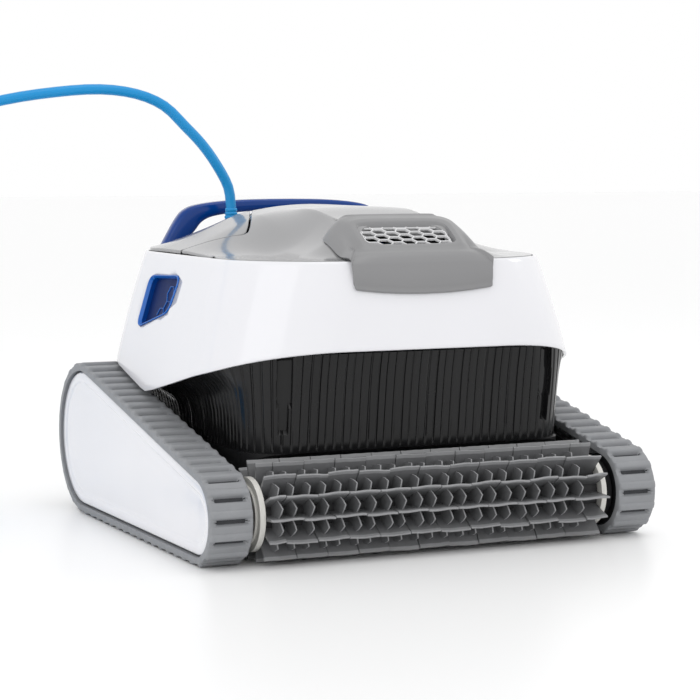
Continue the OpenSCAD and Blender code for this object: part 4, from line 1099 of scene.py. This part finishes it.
def make_cover(side, label):
    """White plate with a rounded raised rim band and a softly domed middle."""
    steps = [(2.6, -7.0), (0.0, -6.6), (0.0, -1.6), (0.5, -0.5), (1.5, 0.0), (7.8, 0.0), (8.8, -0.25), (9.8, -1.0),
             (10.6, -1.25), (14.0, -1.15), (20.0, -0.9), (27.0, -0.75), (30.0, -0.7)]
    rings = [[(side * (COVER_OUT_X + d), y, z) for y, z in track_outline(COVER_INSET + g)] for g, d in steps]
    verts, faces = loft(rings, closed=False)
    n = len(rings[0])
    faces.append(tuple(range(len(verts) - n, len(verts))))
    faces.append(tuple(range(n)))
    posts = [NODES[f"side_cover_{label}"]]
    ob = mesh_object(f"cover_plate_{label}", verts, faces, "white_gloss", "root", sharp=40)
    return ob, posts


def make_cover_posts(side, label):
    shapes = []
    for y, z in ((66, 42), (150, 26), (205, 96)):
        shapes.append(tube_x(min(side * 176.2, side * 207), max(side * 176.2, side * 207), y, z, 4.9, bore=1.6))
    v, f = join_shapes(*shapes)
    return mesh_object(f"cover_posts_{label}", v, f, "white_gloss", "root", [f"side_cover_{label}"])


# ---------------------------------------------------------------- brush
FLAP_STEP = 360.0 / FLAP_ROWS
SEG_LEN = 29.0
SPLAY = 1.0
FIN_STEP = 14.5
FIN_BEND = 2.4


def flap_reach(a):
    """Reach of the flap at angle a from straight down: the lower ones, which the floor bends, are shortened to stop at
    it.
    """
    down = math.cos(math.radians(a)) if abs(a) < 90 else 0.0
    if down > 0:
        return min(BRUSH_R, (FRONT_R - 0.3) / down - 1.2 * abs(math.sin(math.radians(a))))
    return BRUSH_R


def wobble(i, j, k=0.0):
    """A fixed small irregularity between -1 and 1."""
    return math.sin(i * 12.9898 + j * 78.233 + k * 37.719) * 0.6 + math.sin(i * 4.1 + j * 9.7 + k * 2.3) * 0.4


def brush_point(x, a, r):
    """Round the brush's axis: a from straight down towards the front, in degrees."""
    t = math.radians(a)
    return (x, -r * math.sin(t), FRONT_R - r * math.cos(t))


def make_brush():
    shapes, tips = [], []
    half = BRUSH_HALF_L - 5.5
    for i in range(FLAP_ROWS):
        a0 = (i + 0.5) * FLAP_STEP
        fold = a0 if a0 <= 180 else a0 - 360
        reach = flap_reach(fold)
        shift = (i % 2) * SEG_LEN / 2
        cuts = [-half]
        x = -half + 14.5 + shift
        while x < half - 8:
            cuts.append(x)
            x += SEG_LEN
        cuts.append(half)
        for k, (x0, x1) in enumerate(zip(cuts, cuts[1:])):
            lean = 1.3 * wobble(i, k)
            tilt = 0.9 * wobble(i, k, 5)
            end0, end1 = k == 0, k == len(cuts) - 2
            n_x = max(3, round((x1 - x0) / 5))
            body_rings, tip_rings = [], []
            for q in range(n_x + 1):
                u = q / n_x
                xx = mix(x0 + 0.35, x1 - 0.35, u)
                wave = 0.5 * math.sin(u * math.pi * 2 + i) + lean + tilt * (u - 0.5) * 2
                r1 = reach - 0.35 * abs(wobble(i, k, q))
                splay = 0.0
                if end0:
                    splay = -SPLAY * (1 - u) ** 1.6
                if end1:
                    splay = SPLAY * u ** 1.6
                ring, tip = [], []
                stations = [(CORE_R - 1.5, 1.9, 0.0), (mix(CORE_R, r1, 0.5), 1.35, 0.35), (r1 - 3.2, 1.1, 0.85)]
                left, right = [], []
                for r, t, bend in stations:
                    da = math.degrees(t / r)
                    ab = a0 + wave * bend
                    left.append(brush_point(xx + splay * bend, ab - da, r))
                    right.append(brush_point(xx + splay * bend, ab + da, r))
                ring = left + list(reversed(right))
                da0, da1 = math.degrees(1.1 / (r1 - 3.2)), math.degrees(0.85 / r1)
                ab0, ab1 = a0 + wave * 0.85, a0 + wave
                tip = [brush_point(xx + splay * 0.85, ab0 - da0, r1 - 3.2), brush_point(xx + splay, ab1 - da1, r1 - 0.3),
                       brush_point(xx + splay, ab1, r1), brush_point(xx + splay, ab1 + da1, r1 - 0.3),
                       brush_point(xx + splay * 0.85, ab0 + da0, r1 - 3.2)]
                body_rings.append(ring)
                tip_rings.append(tip)
            shapes.append(capped(body_rings))
            tips.append(capped(tip_rings))
    # thin plates across the gaps between the rows, bent and peaked at their middles
    fins = []
    half_gap = FLAP_STEP / 2 - 1.2
    for i in range(FLAP_ROWS):
        a0 = (i + 1) * FLAP_STEP
        fold = a0 if a0 <= 180 else a0 - 360
        reach = min(flap_reach(fold), BRUSH_R) - 4.5
        for k in range(int((2 * half - 8) / FIN_STEP)):
            x = -half + 8 + k * FIN_STEP + 1.5 * wobble(i, k)
            rings = []
            for share in (-1, -0.5, 0, 0.5, 1):
                top = reach - 4.0 * abs(share) ** 1.5 + 0.5 * wobble(i, k, 3)
                bend = FIN_BEND * (1 - abs(share))
                ring = []
                for w, r in ((-1, CORE_R - 1), (1, CORE_R - 1), (1, top), (-1, top)):
                    rise = (r - CORE_R) / (reach - CORE_R)
                    thick = mix(1.0, 0.6, clamp01(rise))
                    ring.append(brush_point(x + w * thick + bend * clamp01(rise), a0 + share * half_gap, r))
                rings.append(ring)
            fins.append(capped(rings))
    v1, f1 = join_shapes(*shapes)
    v2, f2 = join_shapes(*tips)
    v3, f3 = join_shapes(*fins)
    verts, faces = join_shapes((v1, f1), (v2, f2), (v3, f3))
    mats = [0] * len(f1) + [1] * len(f2)
    mats += ([0, 0, 1, 0] * 4 + [0, 0]) * len(fins)
    return mesh_object(
        "brush_fins", verts, faces, "brush_rubber", "front_wheel_left", ["brush_flaps"],
        mats=["brush_rubber", "flap_edge"], face_mats=mats, sharp=40)


# ---------------------------------------------------------------- cable
GLAND = (-64.0, 292.0)
RELIEF_TOP = CREST_Z - 4
CABLE_PTS = [
    (-64, 292, RELIEF_TOP), (-67, 292, 313), (-79, 291, 334), (-94, 291, 354), (-112, 291, 372), (-133, 291, 391),
    (-161, 291, 402), (-197, 291, 406), (-240, 293, 403), (-290, 298, 395), (-345, 303, 380), (-400, 303, 355),
    (-452, 300, 321), (-500, 296, 279), (-543, 292, 230), (-577, 289, 178), (-599, 289, 128), (-608, 292, 88),
    (-606, 299, 60), (-596, 310, 44), (-582, 325, 38)]
TAIL_PTS = [(-474, 228, 5), (-500, 229, 5), (-526, 224, 6), (-546, 212, 10), (-560, 196, 16.5)]
COIL_AT = (-476.0, 338.0)
COIL_IN_R, COIL_W, COIL_H = 65.0, 50.0, 60.0


# Where each turn lies, as (column outwards, layer upwards): every turn touches the one before it
WINDING = [
    (4, 3), (4, 4), (4, 5), (3, 5), (3, 4), (3, 3), (2, 3), (2, 4), (2, 5), (1, 5), (0, 5), (0, 4), (1, 4), (1, 3),
    (0, 3), (0, 2), (0, 1), (0, 0), (1, 0), (1, 1), (1, 2), (2, 2), (2, 1), (2, 0), (3, 0), (3, 1), (3, 2), (4, 2),
    (4, 1), (4, 0)]


def angle_at_coil(p):
    return math.atan2(p[1] - COIL_AT[1], p[0] - COIL_AT[0])


def coil_points():
    """Turns side by side and in layers, wound clockwise from the lead's end to the tail's start."""
    turns = [(COIL_IN_R + CABLE_D * (c + 0.5), CABLE_D * (row + 0.5)) for c, row in WINDING]
    start, end = angle_at_coil(CABLE_PTS[-1]), angle_at_coil(TAIL_PTS[0])
    sweep = 2 * math.pi * (len(turns) - 1) + (start - end) % (2 * math.pi)
    steps = int(28 * sweep / (2 * math.pi))
    lead_r = math.dist(CABLE_PTS[-1][:2], COIL_AT)
    coil = []
    for i in range(steps + 1):
        turned = sweep * i / steps
        whole, part = divmod(turned / (2 * math.pi), 1)
        here = turns[min(int(whole), len(turns) - 1)]
        after = turns[min(int(whole) + 1, len(turns) - 1)]
        hop = smooth((part - 0.8) / 0.2)
        r, z = mix(here[0], after[0], hop), mix(here[1], after[1], hop)
        settle = smooth(turned / 0.9)
        r, z = mix(lead_r, r, settle), mix(CABLE_PTS[-1][2], z, settle)
        coil.append((COIL_AT[0] + r * math.cos(start - turned), COIL_AT[1] + r * math.sin(start - turned), z))
    return coil


def make_cable():
    lead = smooth_line(CABLE_PTS + coil_points()[2:3], 3)[:-3]
    return lead, coil_points(), smooth_line(coil_points()[-2:-1] + TAIL_PTS, 3)[3:]


def curve_object(name, pts, radius, mat):
    cu = bpy.data.curves.new(name, "CURVE")
    cu.dimensions = "3D"
    cu.bevel_depth = radius / 1000
    cu.bevel_resolution = 5
    cu.resolution_u = 1
    sp = cu.splines.new("POLY")
    sp.points.add(len(pts) - 1)
    for q, p in zip(sp.points, pts):
        q.co = (*P(*p), 1)
    cu.use_fill_caps = True
    cu.materials.append(mat)
    ob = bpy.data.objects.new(name, cu)
    bpy.context.scene.collection.objects.link(ob)
    return ob


def line_length(pts):
    return sum(math.dist(a, b) for a, b in zip(pts, pts[1:])) / 1000


lead, coil, tail = make_cable()
cable_line = lead[:-1] + coil + tail[1:]
cable = curve_object("cable_floating", cable_line, CABLE_D / 2, MAT["cable_blue"])
print("cable length", round(line_length(cable_line), 3))
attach(cable, "root")
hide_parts("cable_tube", "cable_coil", "cable_tail")


# ---------------------------------------------------------------- boot and plug
GLAND_SEAT_Z, RELIEF_R, RELIEF_LIP = CREST_Z - 34, 8.0, 0.8
PLUG_AT, PLUG_TURN = TAIL_PTS[-1], math.radians(-131)
PLUG_GRIP_R, PLUG_RING_R = 13.0, 16.5


def turned(profile, place, n=48, flutes=0, flute_depth=0.0):
    """A closed profile of (along, radius) turned round an axis, with flutes where it is widest."""
    widest = max(r for _, r in profile)
    rings = []
    for along, r in profile:
        ring = []
        for i in range(n):
            a = 2 * math.pi * i / n
            cut = flute_depth * max(0.0, math.sin(a * flutes)) if flutes and r > widest - 0.05 else 0.0
            ring.append(place(along, (r - cut) * math.cos(a), (r - cut) * math.sin(a)))
        rings.append(ring)
    return rings


def make_boot():
    """Tapered strain relief with rings round its upper half."""
    def place(along, u, v):
        return (GLAND[0] + u, GLAND[1] + v, GLAND_SEAT_Z + along)
    length = RELIEF_TOP - GLAND_SEAT_Z
    profile = [(0.2, 1.0), (0.2, RELIEF_R - 0.3)]
    for i in range(1, 61):
        along = length * i / 60
        r = mix(RELIEF_R - 0.1, CABLE_D / 2 + RELIEF_LIP, i / 60)
        groove = 0.7 * max(0.0, math.sin(2 * math.pi * along / 3.6)) if along > 17 else 0.0
        profile.append((min(along, length - 0.05), r - groove))
    verts, faces = capped(turned(profile, place))
    return mesh_object("cable_boot", verts, faces, "cable_blue", replaces=["strain_relief"], sharp=50)


def plug_place(along, u, v):
    """along the plug's axis, u across it and v up."""
    c, s = math.cos(PLUG_TURN), math.sin(PLUG_TURN)
    return (PLUG_AT[0] + along * c - u * s, PLUG_AT[1] + along * s + u * c, PLUG_AT[2] + v)


def make_plug():
    """Grip with rings round it, and a fluted locking ring."""
    profile = [(0.1, 5.2), (0.1, PLUG_GRIP_R - 4.2)]
    for i in range(41):
        along = 0.5 + 39 * i / 40
        r = mix(PLUG_GRIP_R - 4, PLUG_GRIP_R, smooth(along / 16)) - 0.1
        groove = 0.7 * max(0.0, math.sin(2 * math.pi * along / 4.0)) if 17 < along < 36 else 0.0
        profile.append((along, r - groove))
    profile += [(51.4, PLUG_GRIP_R - 0.1), (51.9, PLUG_GRIP_R - 0.6), (51.9, 9.0), (50.5, 8.6), (50.5, 1.0)]
    verts, faces = capped(turned(profile, plug_place))
    grip = mesh_object("plug_grip", verts, faces, "black_plastic", replaces=["plug_body"], sharp=50)
    edge = PLUG_RING_R - 0.7
    profile = [(40, PLUG_GRIP_R + 0.1), (40, edge), (40.8, PLUG_RING_R), (61.2, PLUG_RING_R), (62, edge),
               (62, PLUG_GRIP_R + 1.4), (61.4, PLUG_GRIP_R + 1), (52.2, PLUG_GRIP_R + 1), (52.2, PLUG_GRIP_R + 0.1)]
    verts, faces = loft(turned(profile, plug_place, 144, 18, 0.9))
    ring = mesh_object("plug_locking_ring", verts, faces, "navy_blue", replaces=["plug_ring"], sharp=40)
    return grip, ring


boot = make_boot()
grip, locking_ring = make_plug()


# ---------------------------------------------------------------- CAD nodes that stay get their finish
def dress_cad_nodes():
    slots = {row["node"]: row["material_slot"] for row in frame["record"]["subparts"]}
    for name, ob in NODES.items():
        ob.data.materials.clear()
        ob.data.materials.append(MAT[slots[name]])
        for poly in ob.data.polygons:
            poly.material_index = 0


dress_cad_nodes()
make_shell()
for s, label in ((-1, "left"), (1, "right")):
    make_vent(s, label)
    make_belt(s, label)
    make_cover(s, label)
    make_cover_posts(s, label)
make_ribbed_body()
make_lid()
make_deck()
make_nozzle()
make_grille()
make_handle()
make_brush()

tuple(P(*CABLE_PTS[0]))


# ---------------------------------------------------------------- floor and light
def make_stage():
    bpy.ops.mesh.primitive_plane_add(size=30, location=(0, 0, 0))
    floor = bpy.context.object
    floor.name = "floor"
    m, nt, bsdf = new_mat("floor_pale")
    bsdf.inputs["Base Color"].default_value = (0.97, 0.97, 0.97, 1)
    bsdf.inputs["Roughness"].default_value = 0.35
    floor.data.materials.append(m)


def area(name, at, target, size, power, color=(1, 1, 1), size_y=None):
    data = bpy.data.lights.new(name, "AREA")
    data.energy = power
    data.color = color
    data.size = size
    if size_y:
        data.shape = "RECTANGLE"
        data.size_y = size_y
    ob = bpy.data.objects.new(name, data)
    ob.location = at
    ob.rotation_mode = "QUATERNION"
    ob.rotation_quaternion = (Vector(target) - Vector(at)).to_track_quat("-Z", "Y")
    bpy.context.scene.collection.objects.link(ob)


def make_lights():
    world = bpy.context.scene.world or bpy.data.worlds.new("world")
    bpy.context.scene.world = world
    world.use_nodes = True
    bg = world.node_tree.nodes["Background"]
    bg.inputs["Color"].default_value = (1, 1, 1, 1)
    bg.inputs["Strength"].default_value = 1.0
    area("key_top", (0.2, -0.4, 2.2), (0, 0, 0.1), 1.4, 5, (1, 1, 1), 1.0)
    area("left_soft", (-2.4, -1.2, 1.3), (0, 0, 0.15), 2.0, 9)
    area("right_rim", (2.2, -0.4, 1.2), (0, 0, 0.15), 0.5, 4)


make_stage()
make_lights()
scene = bpy.context.scene
scene.view_settings.view_transform = "Standard"
